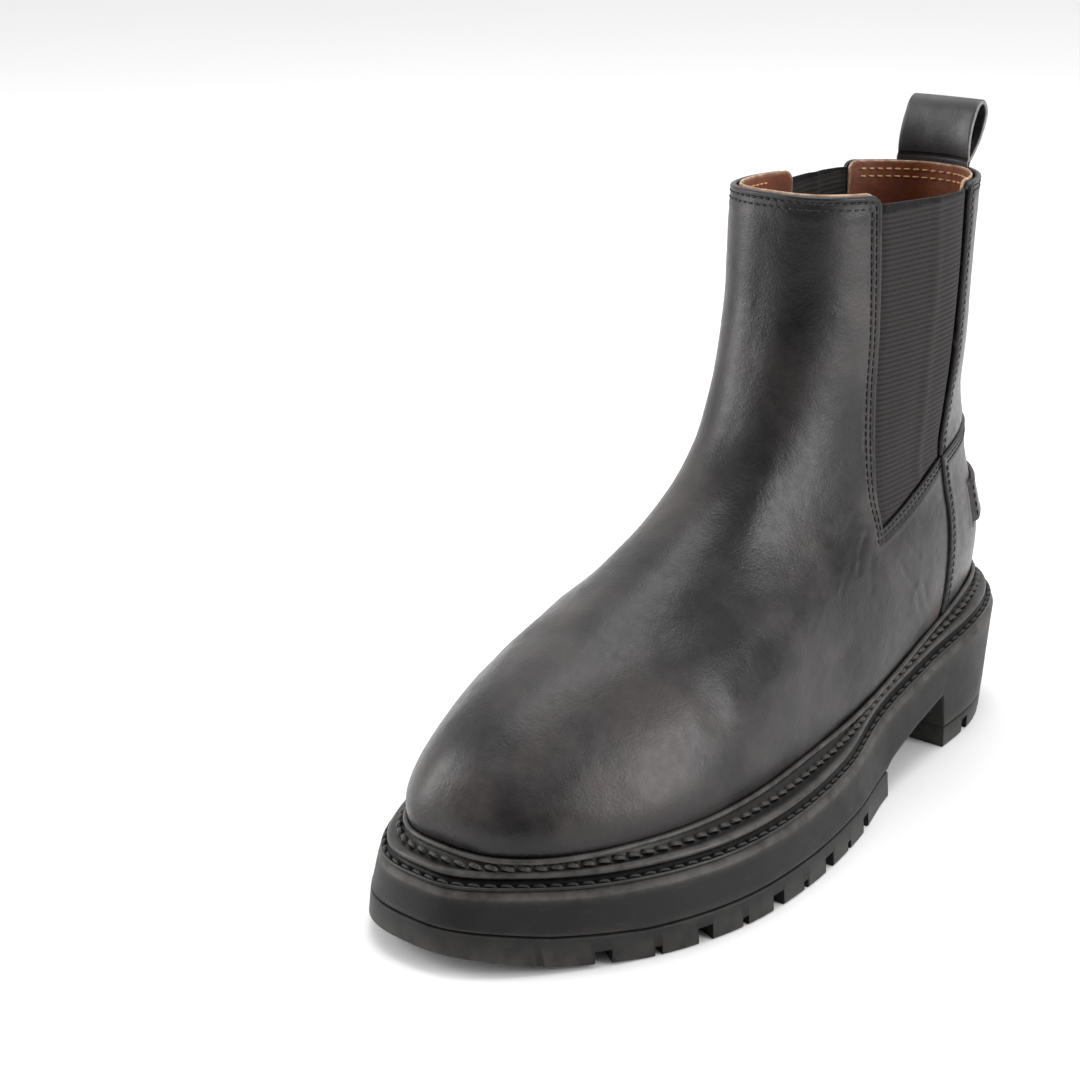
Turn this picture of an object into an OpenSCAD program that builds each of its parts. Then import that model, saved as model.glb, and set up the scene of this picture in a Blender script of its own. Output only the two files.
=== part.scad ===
// Chelsea boot, left foot, men's size EU 42.
// X runs from heel to toe, Y towards the outer side of the foot, Z up.
// The origin is the middle of the heel where it stands on the ground.

/* [Upper] */
// Thickness of the outer leather
leather_t = 2; // [1.4:0.1:2]
// Thickness of the cloth backing, toe puff and heel stiffener
backing_t = 0.9; // [0.5:0.1:0.9]
// Thickness of the lining leather
lining_t = 1; // [0.7:0.1:1]
// Thickness of the elastic side gores
gore_t = 1.3; // [1:0.1:1.4]
// Sewing gap left between neighbouring panels, as a share of a panel's width
seam_gap = 0.008; // [0.006:0.001:0.015]
// How far the outer surface of a gore lies below the leather
gore_drop = 0.5; // [0.3:0.1:0.6]

/* [Heel strap and back strip] */
// How far the strap stands off the heel panel
strap_t = 2.2; // [1.5:0.1:4]
// Half length of the strap, as a share of the heel panel
strap_half = 0.66; // [0.4:0.02:0.8]
// How far the strip over the back seam stands off the back panel
stay_t = 1.8; // [1:0.1:2.5]

/* [Pull loop] */
// Width of the pull loop across the back of the boot
tab_w = 29; // [24:1:36]
// Height of the pull loop above its fold line
tab_h = 21; // [18:1:30]
// How far the loop leans back at rest, in degrees
tab_lean = 14; // [0:1:25]
// Thickness of the loop leather
tab_t = 1.8; // [1.2:0.1:2.2]
// Width of the finger opening inside the loop
tab_gap = 8.5; // [6:0.5:12]

/* [Sole] */
// Thickness of the stitched midsole layer
midsole_t = 3; // [2.5:0.1:4]
// Thickness of the welt at its outer lip
welt_t = 1.9; // [1.4:0.1:3]
// Height of the tread layer under the forepart
tread_h = 10; // [8:0.5:12]
// Height of the bottom lift of the heel
lift_h = 8; // [6:0.5:9]
// Depth of the tread channels
lug_d = 5.5; // [3:0.5:7]
// Where the front face of the heel block stands along the boot
breast_x = 29; // [24:0.5:33]
// Thickness of the insole board
insole_t = 2.2; // [1.5:0.1:2.5]
// Thickness of the padded footbed
footbed_t = 3; // [2:0.5:4]

/* [Stitching] */
// Spacing of the heavy stitches along the welt
stitch_pitch = 5; // [4.5:0.1:12]
// Length of one heavy stitch
stitch_l = 3.9; // [2.5:0.1:4.2]
// Width of one stitch of the midsole's row
stitch_w = 1.3; // [0.8:0.1:1.6]
// Height a stitch stands above the surface it lies on
stitch_h = 0.7; // [0.4:0.1:0.9]

/* [Hidden] */
// thin layer left between neighbouring layers of the upper
ply = 0.05;
// layer of glue left between curved parts that lie on each other
glue = 0.25;
// depths of the layers below the outer surface
d_back0 = leather_t + ply;
d_back1 = d_back0 + backing_t;
d_line0 = d_back1 + ply;
d_line1 = d_line0 + lining_t;
// small angle used to find the direction of a surface
eps = 0.5;
// ends and length of the sole outline
sole_x0 = -39;
sole_x1 = 262;
sole_l = sole_x1 - sole_x0;
// how square the heel end and the toe end of the sole are
sole_n = 3;

// Half widths of the sole from heel to toe, outer side then inner side
sole_out = [44.5, 46.5, 43, 44.5, 54.5, 60.5, 62, 54.5, 36];
sole_in = [40, 44, 42.5, 41, 47, 53.8, 55, 52, 44];
// Sideways position of the sole's middle from heel to toe
sole_mid = [0, 0, 0, 0, 0, -0.5, -2.2, -4.2, -6];
// Height of the top of the rubber along the boot
rubber_top = [
    [-39, 43.5], [0, 42.5], [32, 37.5], [52, 33.5], [72, 30], [92, 27.2],
    [112, 25.8], [152, 25], [192, 25], [232, 25.7], [262, 28]
];
// Height of the underside of the rubber unit, where the tread is fixed
rubber_low = [
    [-39, lift_h], [breast_x - 0.6, lift_h], [breast_x + 0.6, 21.5],
    [50, 17.5], [72, 12], [76, tread_h], [215, tread_h], [240, tread_h + 2], [262, tread_h + 6]
];
// Height of the ground side of the tread along the boot
tread_low = [[60, 0], [215, 0], [240, 2], [262, 7.5]];
// How far the rubber leans outwards at its foot along the boot
flare = [[-39, -4], [-20, -4], [28, 0], [60, 2], [100, 2.5], [225, 2.5], [262, 4]];

// Cross sections of the upper from the sole to the topline. Each one holds
// the back point x and z, the front point x and z, how square the back and
// the front are, and the sideways position of the back and front points.
rows = [
    [-32, 50, 249.5, 33, 2.4, 2.9, 0, -5],
    [-35, 62, 252.5, 47, 2.3, 2.8, 0, -5],
    [-35.5, 75, 243, 64, 2.3, 2.5, 0, -4],
    [-32.5, 89, 219, 78, 2.2, 2.3, 0, -3],
    [-29, 102, 185, 89, 2.2, 2.2, -1, -2],
    [-27, 116, 152, 102, 2.4, 2.2, -2, -1],
    [-27, 131, 124, 119, 2.55, 2.4, -3, 0],
    [-27.2, 150, 105, 142, 2.55, 2.7, -3, 0],
    [-27.2, 176, 94, 175, 2.5, 3.0, -3, 0],
    [-27.2, 206, 90, 213.5, 2.45, 3.2, -3, 0]
];
// Half widths of each cross section from back to front, outer side
wide_out = [
    [40, 38.5, 46, 52.5, 47], [43, 41.5, 46.5, 54, 48], [42, 41, 43, 48.5, 40],
    [38.5, 39, 39, 40.5, 34], [36, 36, 35.5, 34, 30], [31, 33, 33, 31, 28],
    [25, 32, 33, 30, 28], [24, 32, 33, 30, 28], [24, 32, 34, 31, 29],
    [27, 33, 34, 31.5, 29]
];
// Half widths of each cross section from back to front, inner side
wide_in = [
    [39, 33, 33.5, 46, 40.5], [39, 36, 37, 48.5, 39.5], [38, 37, 38, 45.5, 35],
    [35, 37, 37, 39, 32], [31, 35, 35, 33, 30], [28, 33, 33, 31, 28],
    [27, 32, 31, 30, 27.5], [27, 32, 30, 29.5, 28], [27, 32, 29, 29.5, 29],
    [27, 33, 28.5, 29.5, 29]
];
// Height share of the seam that runs from the back centre over the side
// seam and the tip of the gore to the front centre
seam_row = [0.55, 0.53, 0.445, 0.40];
// Positions along the boot of the side seam and the gore's rear edge,
// from the sole to the topline, outer side then inner side
rear_out = [21.5, 20.5, 19, 17, 17.5, 19, 17, 14.5, 12.5, 12.5];
rear_in = [20, 18.5, 16, 12.5, 11, 9.5, 6, 3, 0, -2];
// Positions along the boot of the gore's front edge
fore_out = [72, 70, 68, 67, 65, 66, 66, 64.5, 64, 65];
fore_in = [70, 68, 65, 61, 57, 54, 50, 45, 41, 38];

// How finely the panels of the upper are divided
cols_back = 14;
cols_side = 8;
cols_front = 15;
rows_low = 10;
rows_high = 11;

// Names of the sub-parts
// Sub-part to draw, or all of them

// ---------------------------------------------------------------- curves

// Smooth curve through the values of a list, t counts from the first value
function curve(v, t) = let(
        k = len(v) - 1,
        q = max(0, min(k, t)),
        i = min(floor(q), k - 1),
        f = q - i,
        b = v[i],
        c = v[i + 1],
        a = i == 0 ? 2 * b - c : v[i - 1],
        d = i == k - 1 ? 2 * c - b : v[i + 2]
    ) 0.5 * (2 * b + (c - a) * f + (2 * a - 5 * b + 4 * c - d) * f * f
        + (3 * b - a - 3 * c + d) * f * f * f);

// Roundness of the two ends of an outline, p in degrees from back to front
function round_end(p, n) = pow(max(0, 1 - pow(abs(cos(p)), n)), 1 / n);

// Point of the upper's outer surface, v from the sole to the topline and
// p in degrees round the boot from the back over the outer side
function skin(v, p) = let(
        r = curve(rows, v * 9),
        t = (1 - cos(p)) / 2,
        w = curve(curve(sin(p) >= 0 ? wide_out : wide_in, v * 9), t * 4),
        n = t < 0.5 ? r[4] : r[5],
        x = r[0] + t * (r[2] - r[0]),
        y = r[6] + t * (r[7] - r[6]) + sign(sin(p)) * w * round_end(p, n),
        z = r[1] + t * (r[3] - r[1]),
        z0 = rows[0][1] + t * (rows[0][3] - rows[0][1]),
        foot = lookup(x, rubber_top) + midsole_t + ply
    ) [x, y, z + pow(1 - v, 4) * (foot - z0)];

function unit(a) = a / norm(a);

// Outward direction of the upper's surface
function skin_out(v, p) = let(
        v0 = max(0, v - 0.01),
        v1 = min(1, v + 0.01)
    ) unit(cross(skin(v, p - eps) - skin(v, p + eps), skin(v1, p) - skin(v0, p)));

// Point at depth d below the upper's surface
function deep(v, p, d) = skin(v, p) - d * skin_out(v, p);

// Angle round the boot of a position x along it at height share v
function at_x(v, x) = let(r = curve(rows, v * 9))
    acos(1 - 2 * (x - r[0]) / (r[2] - r[0]));

// Height share of panel coordinates u, w: w = 1 is the long seam
function share(u, w) = let(
        s = curve(seam_row, u < 0 ? -u : u > 3 ? 6 - u : u)
    ) w < 1 ? w * s : s + (w - 1) * (1 - s);

// Angle of panel coordinate u: 0 back, 1 side seam, 2 gore front, 3 front
function turn(a, v, rear, fore) = lookup(a, [
    [0, 0], [1, at_x(v, curve(rear, v * 9))],
    [2, at_x(v, curve(fore, v * 9))], [3, 180]
]);
function angle(u, v) = u < 0 ? -turn(-u, v, rear_in, fore_in)
    : u <= 3 ? turn(u, v, rear_out, fore_out)
    : 360 - turn(6 - u, v, rear_in, fore_in);

// Point of a panel at panel coordinates u, w and depth d
function panel_pt(u, w, d) = let(v = share(u, w)) deep(v, angle(u, v), d);

// Evenly spread values from a to b
function spread(a, b, n) = [for (i = [0:n]) a + (b - a) * i / n];

// ------------------------------------------------------------ solid makers

// Two triangles closing a four-cornered patch
function patch(a, b, c, d) = [[a, c, b], [a, d, c]];

// Sheet of leather between depths d0 and d1 over the columns us and rows ws.
// keep(u, w) tells which patches of the sheet exist.
module sheet(us, ws, d0, d1, keep) {
    nu = len(us);
    nw = len(ws);
    in_net = function (i, j) i >= 0 && j >= 0 && i < nu - 1 && j < nw - 1;
    has = function (i, j) in_net(i, j)
        && keep((us[i] + us[i + 1]) / 2, (ws[j] + ws[j + 1]) / 2);
    at = function (i, j, k) k * nu * nw + i * nw + j;
    pts = [for (d = [d0, d1]) for (u = us) for (w = ws) panel_pt(u, w, d)];
    cells = [for (i = [0:nu - 2]) for (j = [0:nw - 2]) if (has(i, j)) [i, j]];
    skins = [for (c = cells) let(i = c[0], j = c[1]) each concat(
        patch(at(i, j, 0), at(i, j + 1, 0), at(i + 1, j + 1, 0), at(i + 1, j, 0)),
        patch(at(i, j, 1), at(i + 1, j, 1), at(i + 1, j + 1, 1), at(i, j + 1, 1))
    )];
    walls = [for (c = cells) let(i = c[0], j = c[1]) each concat(
        has(i - 1, j) ? []
            : patch(at(i, j, 0), at(i, j, 1), at(i, j + 1, 1), at(i, j + 1, 0)),
        has(i + 1, j) ? []
            : patch(at(i + 1, j, 0), at(i + 1, j + 1, 0), at(i + 1, j + 1, 1), at(i + 1, j, 1)),
        has(i, j - 1) ? []
            : patch(at(i, j, 0), at(i + 1, j, 0), at(i + 1, j, 1), at(i, j, 1)),
        has(i, j + 1) ? []
            : patch(at(i, j + 1, 0), at(i, j + 1, 1), at(i + 1, j + 1, 1), at(i + 1, j + 1, 0))
    )];
    polyhedron(points = pts, faces = concat(skins, walls), convexity = 8);
}

// Solid through a stack of rings of equal length, lowest ring first. Rings
// run over the outer side to the toe and back along the inner side; opposite
// points are joined across. s = 0: the ring starts at the single heel point,
// s = 1: the ring starts and ends with a pair of points.
module stack(rings, s = 0) {
    n = len(rings[0]);
    m = len(rings);
    sides = [for (k = [0:m - 2]) for (i = [0:n - 1]) let(j = (i + 1) % n) each
        patch(k * n + i, (k + 1) * n + i, (k + 1) * n + j, k * n + j)];
    cap = [for (i = [0:floor((n - s) / 2) - 1])
        let(a = i, b = i + 1, c = (n - i - 1 - s) % n, d = (n - i - s) % n)
        each a == d ? [[a, b, c]] : b == c ? [[a, b, d]] : [[a, b, c], [a, c, d]]];
    low = [for (f = cap) [f[2], f[1], f[0]]];
    top = [for (f = cap) f + (m - 1) * n * [1, 1, 1]];
    polyhedron(points = [for (r = rings) each r], faces = concat(sides, low, top), convexity = 6);
}

// Ring-shaped solid: the last ring is joined back to the first
module band(rings) {
    n = len(rings[0]);
    m = len(rings);
    pts = [for (r = rings) each r];
    polyhedron(points = pts, faces = [for (k = [0:m - 1]) for (i = [0:n - 1])
        let(j = (i + 1) % n, l = (k + 1) % m) each
        patch(k * n + i, l * n + i, l * n + j, k * n + j)], convexity = 6);
}

// ------------------------------------------------------------ sole curves

// Point of the sole outline moved inwards by d, p in degrees from the heel
function sole_flat(p) = let(
        t = (1 - cos(p)) / 2,
        w = curve(sin(p) >= 0 ? sole_out : sole_in, t * 8)
    ) [sole_x0 + t * sole_l, curve(sole_mid, t * 8) + sign(sin(p)) * w * round_end(p, sole_n)];
function sole_edge(p, d) = let(
        a = sole_flat(p),
        g = unit(sole_flat(p + eps) - sole_flat(p - eps))
    ) a + d * [g[1], -g[0]];
function sole_at(x) = acos(1 - 2 * (x - sole_x0) / sole_l);
function top_z(x) = lookup(x, rubber_top);
function mid_z(x) = top_z(x) + midsole_t;

// Angles round the sole for one side from heel to toe, with the heel breast
p_heel = sole_at(breast_x - 0.6);
p_arch = sole_at(breast_x + 0.6);
p_tread = sole_at(76);
heel_side = spread(0, p_heel, 8);
fore_side = spread(p_tread, 180, 22);
side = concat(heel_side, spread(p_arch, p_tread, 4), [for (i = [1:22]) fore_side[i]]);
// Whole turn from the heel point over the outer side to the toe and back
function there_and_back(a, n) = concat(a, [for (i = [len(a) - 2:-1:n]) 360 - a[i]]);
around = there_and_back(side, 1);
around_fore = there_and_back(fore_side, 0);

// Ring of the sole at inset d; its height comes from a table plus dz
function ring(ps, d, tab, dz) = [for (p = ps) let(q = sole_edge(p, d))
    [q[0], q[1], lookup(q[0], tab) + dz]];

// Ring of the rubber, where the share k of the flare has been reached
function foot_ring(ps, k, tab, dz) = [for (p = ps) let(
        x = sole_flat(p)[0],
        q = sole_edge(p, -k * lookup(x, flare))
    ) [q[0], q[1], lookup(x, tab) + dz]];

// Ring that follows the foot of the upper at depth d
function inner_ring(ps, d, dz) = [for (p = ps) let(q = deep(0, p, d))
    [q[0], q[1], mid_z(q[0]) + dz]];

// Point d outside the upper's surface at height h above its foot
function beside(p, h, d) = let(
        s = (skin(0.03, p)[2] - skin(0, p)[2]) / 0.03
    ) deep(h / s, p, -d);

// Distance walked along the sole outline at inset d, paired with the angle
function walk(d) = [for (
        p = 0, s = 0, a = sole_edge(0, d);
        p <= 360;
        b = sole_edge(p + 2, d), s = s + norm(b - a), p = p + 2, a = b
    ) [s, p]];

// ------------------------------------------------------------ upper

// True where the front panel has leather
function in_front(u, w) = w < 1 || (u > 2 && u < 4);
// True inside the toe puff
function in_puff(u, w) = u > 2.5 && u < 3.5 && w < 0.6;

front_cols = concat(
    [1 + seam_gap], [for (i = [1:cols_side - 1]) 1 + i / cols_side],
    spread(2, 4, 2 * cols_front),
    [for (i = [1:cols_side - 1]) 4 + i / cols_side], [5 - seam_gap]
);
front_rows = concat(spread(0, 1, rows_low), [for (i = [1:rows_high]) 1 + i / rows_high]);
back_cols = spread(seam_gap - 1, 1 - seam_gap, cols_back);
low_rows = spread(0, 1 - seam_gap, rows_low - 2);
high_rows = spread(1 + seam_gap, 2, rows_high - 3);

module vamp() {
    color("#2b2b2d") sheet(front_cols, front_rows, 0, leather_t,
        function (u, w) in_front(u, w));
}

module vamp_backing() {
    color("#8a8478") sheet(front_cols, front_rows, d_back0, d_back1,
        function (u, w) in_front(u, w) && !in_puff(u, w));
}

module toe_puff() {
    color("#b9b4a8") sheet(
        [for (u = front_cols) if (u > 2.4 && u < 3.6) u], front_rows, d_back0, d_back1 - ply,
        function (u, w) in_puff(u, w) && u > 2.54 && u < 3.46 && w < 0.5);
}

module vamp_lining() {
    color("#a5673c") sheet(front_cols, front_rows, d_line0, d_line1,
        function (u, w) in_front(u, w));
}

module heel_panel() {
    color("#303033") sheet(back_cols, low_rows, 0, leather_t, function (u, w) true);
}

module heel_stiffener() {
    color("#c3bba8") sheet(back_cols, low_rows, d_back0, d_back1, function (u, w) true);
}

module heel_lining() {
    color("#9c6038") sheet(back_cols, low_rows, d_line0, d_line1, function (u, w) true);
}

module back_panel() {
    color("#2e2e31") sheet(back_cols, high_rows, 0, leather_t, function (u, w) true);
}

module back_backing() {
    color("#8a8478") sheet(back_cols, [for (w = high_rows) min(w, 1.9)], d_back0, d_back1,
        function (u, w) w < 1.9);
}

module back_lining() {
    color("#a5673c") sheet(back_cols, high_rows, d_line0, d_line1, function (u, w) true);
}

// Elastic gore between the front panel and the back panel
module gore(u0, u1) {
    sheet(spread(u0, u1, cols_side), spread(1 + seam_gap, 1.985, rows_high - 3),
        gore_drop, gore_drop + gore_t, function (u, w) true);
}

module gore_lateral() {
    color("#1e1e20") gore(1 + seam_gap, 2 - seam_gap);
}

module gore_medial() {
    color("#1e1e20") gore(4 + seam_gap, 5 - seam_gap);
}

// Narrow strip over the seam down the middle of the back panel
module back_stay() {
    color("#262628") sheet([-0.08, -0.04, 0, 0.04, 0.08], spread(1.03, 1.9, 8),
        -stay_t, -glue, function (u, w) true);
}

// Strap round the back of the heel, standing off the leather
module heel_strap() {
    color("#262628") sheet(spread(-strap_half, strap_half, 12), [0.43, 0.5, 0.58, 0.66],
        -strap_t, -glue, function (u, w) true);
}

// ------------------------------------------------------------ pull loop

// Half length of the loop's sewn-in end, as a share of the back panel
anchor_half = 0.42;
// Radius of the rolled foot of the loop, then the middle of its fold line
tab_r = tab_t + 0.4;
tab_x = rows[9][0] + d_line1 / 2;
tab_y = rows[9][6] - 1;
tab_z = rows[9][1] + tab_r + 0.35;

// Side view of the loop's middle line, q from 0 at one foot to 1 at the other
function loop_mid(q) = let(a = 360 * q)
    [-(tab_gap + tab_t) / 2 * sin(a) * pow(sin(a / 2), 0.6), tab_h / 2 * (1 - cos(a))];
function loop_side(q, d) = let(
        g = unit(loop_mid(min(1, q + 0.01)) - loop_mid(max(0, q - 0.01)))
    ) loop_mid(q) + d * [-g[1], g[0]];

module pull_tab() {
    qs = spread(0.05, 0.95, 30);
    color("#3a3a3d") translate([tab_x, tab_y + tab_w / 2, tab_z]) rotate([90, 0, 0])
        rotate([0, 0, tab_lean]) difference() {
            union() {
                cylinder(h = tab_w, r = tab_r, $fn = 48);
                linear_extrude(height = tab_w)
                    polygon([for (q = qs) loop_side(q, tab_t / 2)]);
            }
            translate([0, 0, -1]) linear_extrude(height = tab_w + 2)
                polygon([for (q = spread(0.12, 0.88, 26)) loop_side(q, -tab_t / 2)]);
        }
}

// End of the loop strap sewn in between the back panel and its lining
module tab_anchor() {
    color("#3a3a3d") sheet(spread(-anchor_half, anchor_half, 6), spread(1.915, 2, 2),
        d_back0, d_back1, function (u, w) true);
}

// ------------------------------------------------------------ sole

// Inset of the welt's lip, of the midsole's rim and of the rim's stitches
lip = 2.8;
rim = 0.9;
rim_seam = 2.6;
// Height of the midsole's rim
rim_h = 1.3;
// How far the welt climbs from its lip to the upper
climb = 3.8;
// Depth of the channel the welt stitches lie in
channel = 0.4;
// Sides of the channel, as shares of the way from the lip to the upper
chan_a = 0.24;
chan_b = 0.82;
// Half width of a welt stitch, as a share of the same way
stitch_share = 0.11;
// Share of a stitch's width that is left at its top
stitch_top = 0.6;
// Clearance under a stitch
stitch_gap = 0.25;
// Radius of the raised bead between the welt and the upper
bead_r = 1.1;

// Layer under the welt, with a low rim that carries its own stitches
module midsole() {
    color("#232325") stack([
        ring(around, rim + 0.3, rubber_top, ply),
        ring(around, rim, rubber_top, 0.5),
        ring(around, rim + 0.2, rubber_top, rim_h),
        ring(around, lip + 1.6, rubber_top, rim_h + 0.1),
        ring(around, lip + 1.8, rubber_top, midsole_t)
    ]);
}

// Point at height d above the welt's slope: f = 0 at the lip, f = 1 at the upper
function slope_pt(p, f, d) = let(
        a = sole_edge(p, lip),
        way = sole_edge(p + 1, lip) - a,
        a3 = [a[0], a[1], mid_z(a[0]) + welt_t],
        b3 = beside(p, welt_t + climb, 0.2)
    ) a3 + f * (b3 - a3) + d * unit(cross(b3 - a3, [way[0], way[1], 0]));

// Stitched strip that climbs from its lip to the foot of the upper
module welt() {
    color("#29292b") band([
        [for (p = around) let(q = beside(p, 0, 0.2)) [q[0], q[1], mid_z(q[0]) + glue]],
        ring(around, lip, rubber_top, midsole_t + glue),
        ring(around, lip - 0.2, rubber_top, midsole_t + welt_t / 2),
        [for (p = around) slope_pt(p, 0, 0)],
        [for (p = around) slope_pt(p, chan_a, 0)],
        [for (p = around) slope_pt(p, chan_a + 0.04, -channel)],
        [for (p = around) slope_pt(p, chan_b - 0.04, -channel)],
        [for (p = around) slope_pt(p, chan_b, 0)],
        [for (p = around) slope_pt(p, 0.97, 0)]
    ]);
}

// Raised bead that closes the gap between the welt and the upper
module welt_bead() {
    color("#333335") band([for (a = [0:45:315]) [for (p = around)
        let(q = beside(p, welt_t + climb + bead_r + 0.3, bead_r + 0.1), o = skin_out(0.05, p),
            g = unit([o[0], o[1], 0]))
        q - bead_r * cos(a) * g - [0, 0, bead_r * sin(a)]
    ]]);
}

// One heavy stitch through eight corners, four at each end
module stitch(pts) {
    polyhedron(points = pts, faces = [
        [0, 1, 3], [0, 3, 2], [4, 6, 7], [4, 7, 5],
        [0, 2, 6], [0, 6, 4], [1, 5, 7], [1, 7, 3],
        [0, 4, 5], [0, 5, 1], [2, 3, 7], [2, 7, 6]
    ], convexity = 2);
}

// Angles at the start and end of every stitch of a row at inset d
function stitch_ends(d) = let(
        way = walk(d),
        total = way[len(way) - 1][0],
        count = floor(total / stitch_pitch)
    ) [for (k = [0:count - 1]) [for (e = [-1, 1])
        lookup((k + 0.5) * total / count + e * stitch_l / 2, way)]];

module welt_stitches() {
    mid = (chan_a + chan_b) / 2;
    color("#77736c") for (s = stitch_ends(lip + 3)) stitch([
        for (p = s) for (w = [1, -1]) for (h = [0, 1]) slope_pt(p,
            mid - w * stitch_share * (h == 1 ? stitch_top : 1), stitch_gap - channel + h * stitch_h)
    ]);
}

module midsole_stitches() {
    color("#5c5953") for (s = stitch_ends(rim_seam)) stitch([
        for (p = s) for (w = [1, -1]) for (h = [0, 1]) let(
            q = sole_edge(p, rim_seam + w * stitch_w / 2 * (h == 1 ? stitch_top : 1))
        ) [q[0], q[1], top_z(q[0]) + rim_h + stitch_gap + h * stitch_h]
    ]);
}

// Board between the footbed and the cork
module insole_board() {
    z0 = 2 + 2 * ply;
    color("#b08a5e") stack([
        inner_ring(around, d_line1 + 0.4, z0), inner_ring(around, d_line1 + 0.4, z0 + insole_t)
    ]);
}

// Padded sock the foot stands on
module footbed() {
    z0 = 2 + 3 * ply + insole_t;
    color("#7d5233") stack([
        inner_ring(around, d_line1 + 1.2, z0),
        inner_ring(around, d_line1 + 1, z0 + footbed_t - 0.8),
        inner_ring(around, d_line1 + 2.2, z0 + footbed_t)
    ]);
}

// Cork under the ball of the foot, between the insole board and the midsole
module cork_filler() {
    ball = [for (p = around_fore) let(x = sole_flat(p)[0]) if (x > 92) p];
    color("#c79a63") stack([
        inner_ring(ball, d_line1 + 5, glue), inner_ring(ball, d_line1 + 5, 2)
    ], 1);
}

// Steel shank stiffening the waist, lying behind the cork
module shank() {
    xs = spread(-12, 84, 16);
    color("#9a9ca0") translate([0, 6.5, 0]) rotate([90, 0, 0]) linear_extrude(height = 13)
        polygon(concat([for (x = xs) [x, mid_z(x) + glue]],
            [for (i = [len(xs) - 1:-1:0]) [xs[i], mid_z(xs[i]) + 1.7]]));
}

// Rubber unit with the upper part of the heel block and the arch
module rubber_unit() {
    color("#1f1f21") stack([
        foot_ring(around, 0.7, rubber_low, 0),
        foot_ring(around, 0.35, rubber_mid, 0),
        ring(around, 0, rubber_top, -2.2),
        ring(around, 1.3, rubber_top, 0)
    ]);
}
// Height of the rubber's sidewall where its lean ends
rubber_mid = [for (x = concat([-39, breast_x - 0.6, breast_x + 0.6], spread(32, 262, 23)))
    [x, (lookup(x, rubber_low) + lookup(x, rubber_top)) / 2]];

// Spacing of the tread's lugs, and where the first wide notch lies
lug_pitch = 31.2;
notch_x = 102.5;
// Notch of width w and height h, cut d deep into the rim of the sole at
// position x; end = 1 for the outer side and -1 for the inner side
module notch(x, end, w, h, d) {
    p = end * sole_at(x);
    a = sole_edge(p, 0);
    b = sole_edge(p, d);
    translate([a[0], a[1], -1]) rotate([0, 0, atan2(b[1] - a[1], b[0] - a[0])])
        translate([-8, -w / 2, 0]) cube([d + 8, w, h + 1]);
}

// Notches in the rim of the forepart on both sides, wide and narrow by turns
module rim_notches() {
    for (k = [0:4]) {
        for (end = [-1, 1]) {
            notch(notch_x + lug_pitch * k, end, 5.6, lug_d, 12);
            notch(notch_x + lug_pitch * (k + 0.5), end, 2.6, lug_d * 0.6, 7);
        }
    }
}

module forepart_tread() {
    color("#19191b") difference() {
        stack([
            foot_ring(around_fore, 1, tread_low, 0),
            foot_ring(around_fore, 0.75, rubber_low, -1),
            foot_ring(around_fore, 0.45, rubber_low, -glue)
        ], 1);
        rim_notches();
        for (k = [0:3]) {
            translate([notch_x + lug_pitch * k, -20, -1]) cube([5, 40, lug_d + 1]);
        }
    }
}

// Bottom lift of the heel block; its underside is what the heel stands on
module heel_lift() {
    color("#19191b") difference() {
        linear_extrude(height = lift_h - ply)
            polygon([for (p = concat(heel_side, [for (i = [8:-1:1]) -heel_side[i]]))
                let(q = sole_edge(p, -0.9 * lookup(sole_flat(p)[0], flare))) q]);
        for (y = [-1, 1]) {
            translate([-12, y * 34 - 7, -1]) cube([3, 14, lug_d]);
            translate([8, y * 38 - 7, -1]) cube([5, 14, lug_d]);
        }
        translate([-40, -3, -1]) cube([12, 6, lug_d]);
    }
}

vamp();
heel_panel();
back_panel();
gore_lateral();
gore_medial();
vamp_backing();
toe_puff();
heel_stiffener();
vamp_lining();
heel_lining();
back_lining();
back_backing();
back_stay();
heel_strap();
pull_tab();
tab_anchor();
footbed();
insole_board();
cork_filler();
shank();
welt();
welt_bead();
midsole();
rubber_unit();
forepart_tread();
heel_lift();
welt_stitches();
midsole_stitches();
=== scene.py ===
"""Looks of a left chelsea boot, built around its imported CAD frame.

The shape functions repeat part.scad's surface in millimetres; meshes are in metres.
"""

import math

import bmesh
import bpy
import numpy as np
from mathutils import Matrix, Vector, noise
from mathutils.kdtree import KDTree


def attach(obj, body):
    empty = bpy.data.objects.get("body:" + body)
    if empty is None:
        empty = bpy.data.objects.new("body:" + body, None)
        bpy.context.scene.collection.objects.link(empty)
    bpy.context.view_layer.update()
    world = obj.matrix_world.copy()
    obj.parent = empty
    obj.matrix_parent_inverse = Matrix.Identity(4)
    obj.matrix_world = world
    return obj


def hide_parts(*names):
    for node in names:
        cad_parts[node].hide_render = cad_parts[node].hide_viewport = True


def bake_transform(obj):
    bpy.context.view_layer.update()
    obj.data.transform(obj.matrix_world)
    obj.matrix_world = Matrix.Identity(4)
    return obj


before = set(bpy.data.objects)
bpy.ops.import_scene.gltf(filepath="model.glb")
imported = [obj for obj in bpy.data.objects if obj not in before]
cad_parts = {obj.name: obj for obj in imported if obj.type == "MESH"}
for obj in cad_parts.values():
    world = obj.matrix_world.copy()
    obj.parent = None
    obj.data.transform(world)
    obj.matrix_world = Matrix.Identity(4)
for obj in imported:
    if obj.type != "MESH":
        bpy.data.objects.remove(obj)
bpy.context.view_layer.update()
MM = 0.001
BOOT, BACK, LOOP = "boot", "back_shaft", "pull_loop"


# ---------------------------------------------------------------- camera

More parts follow.
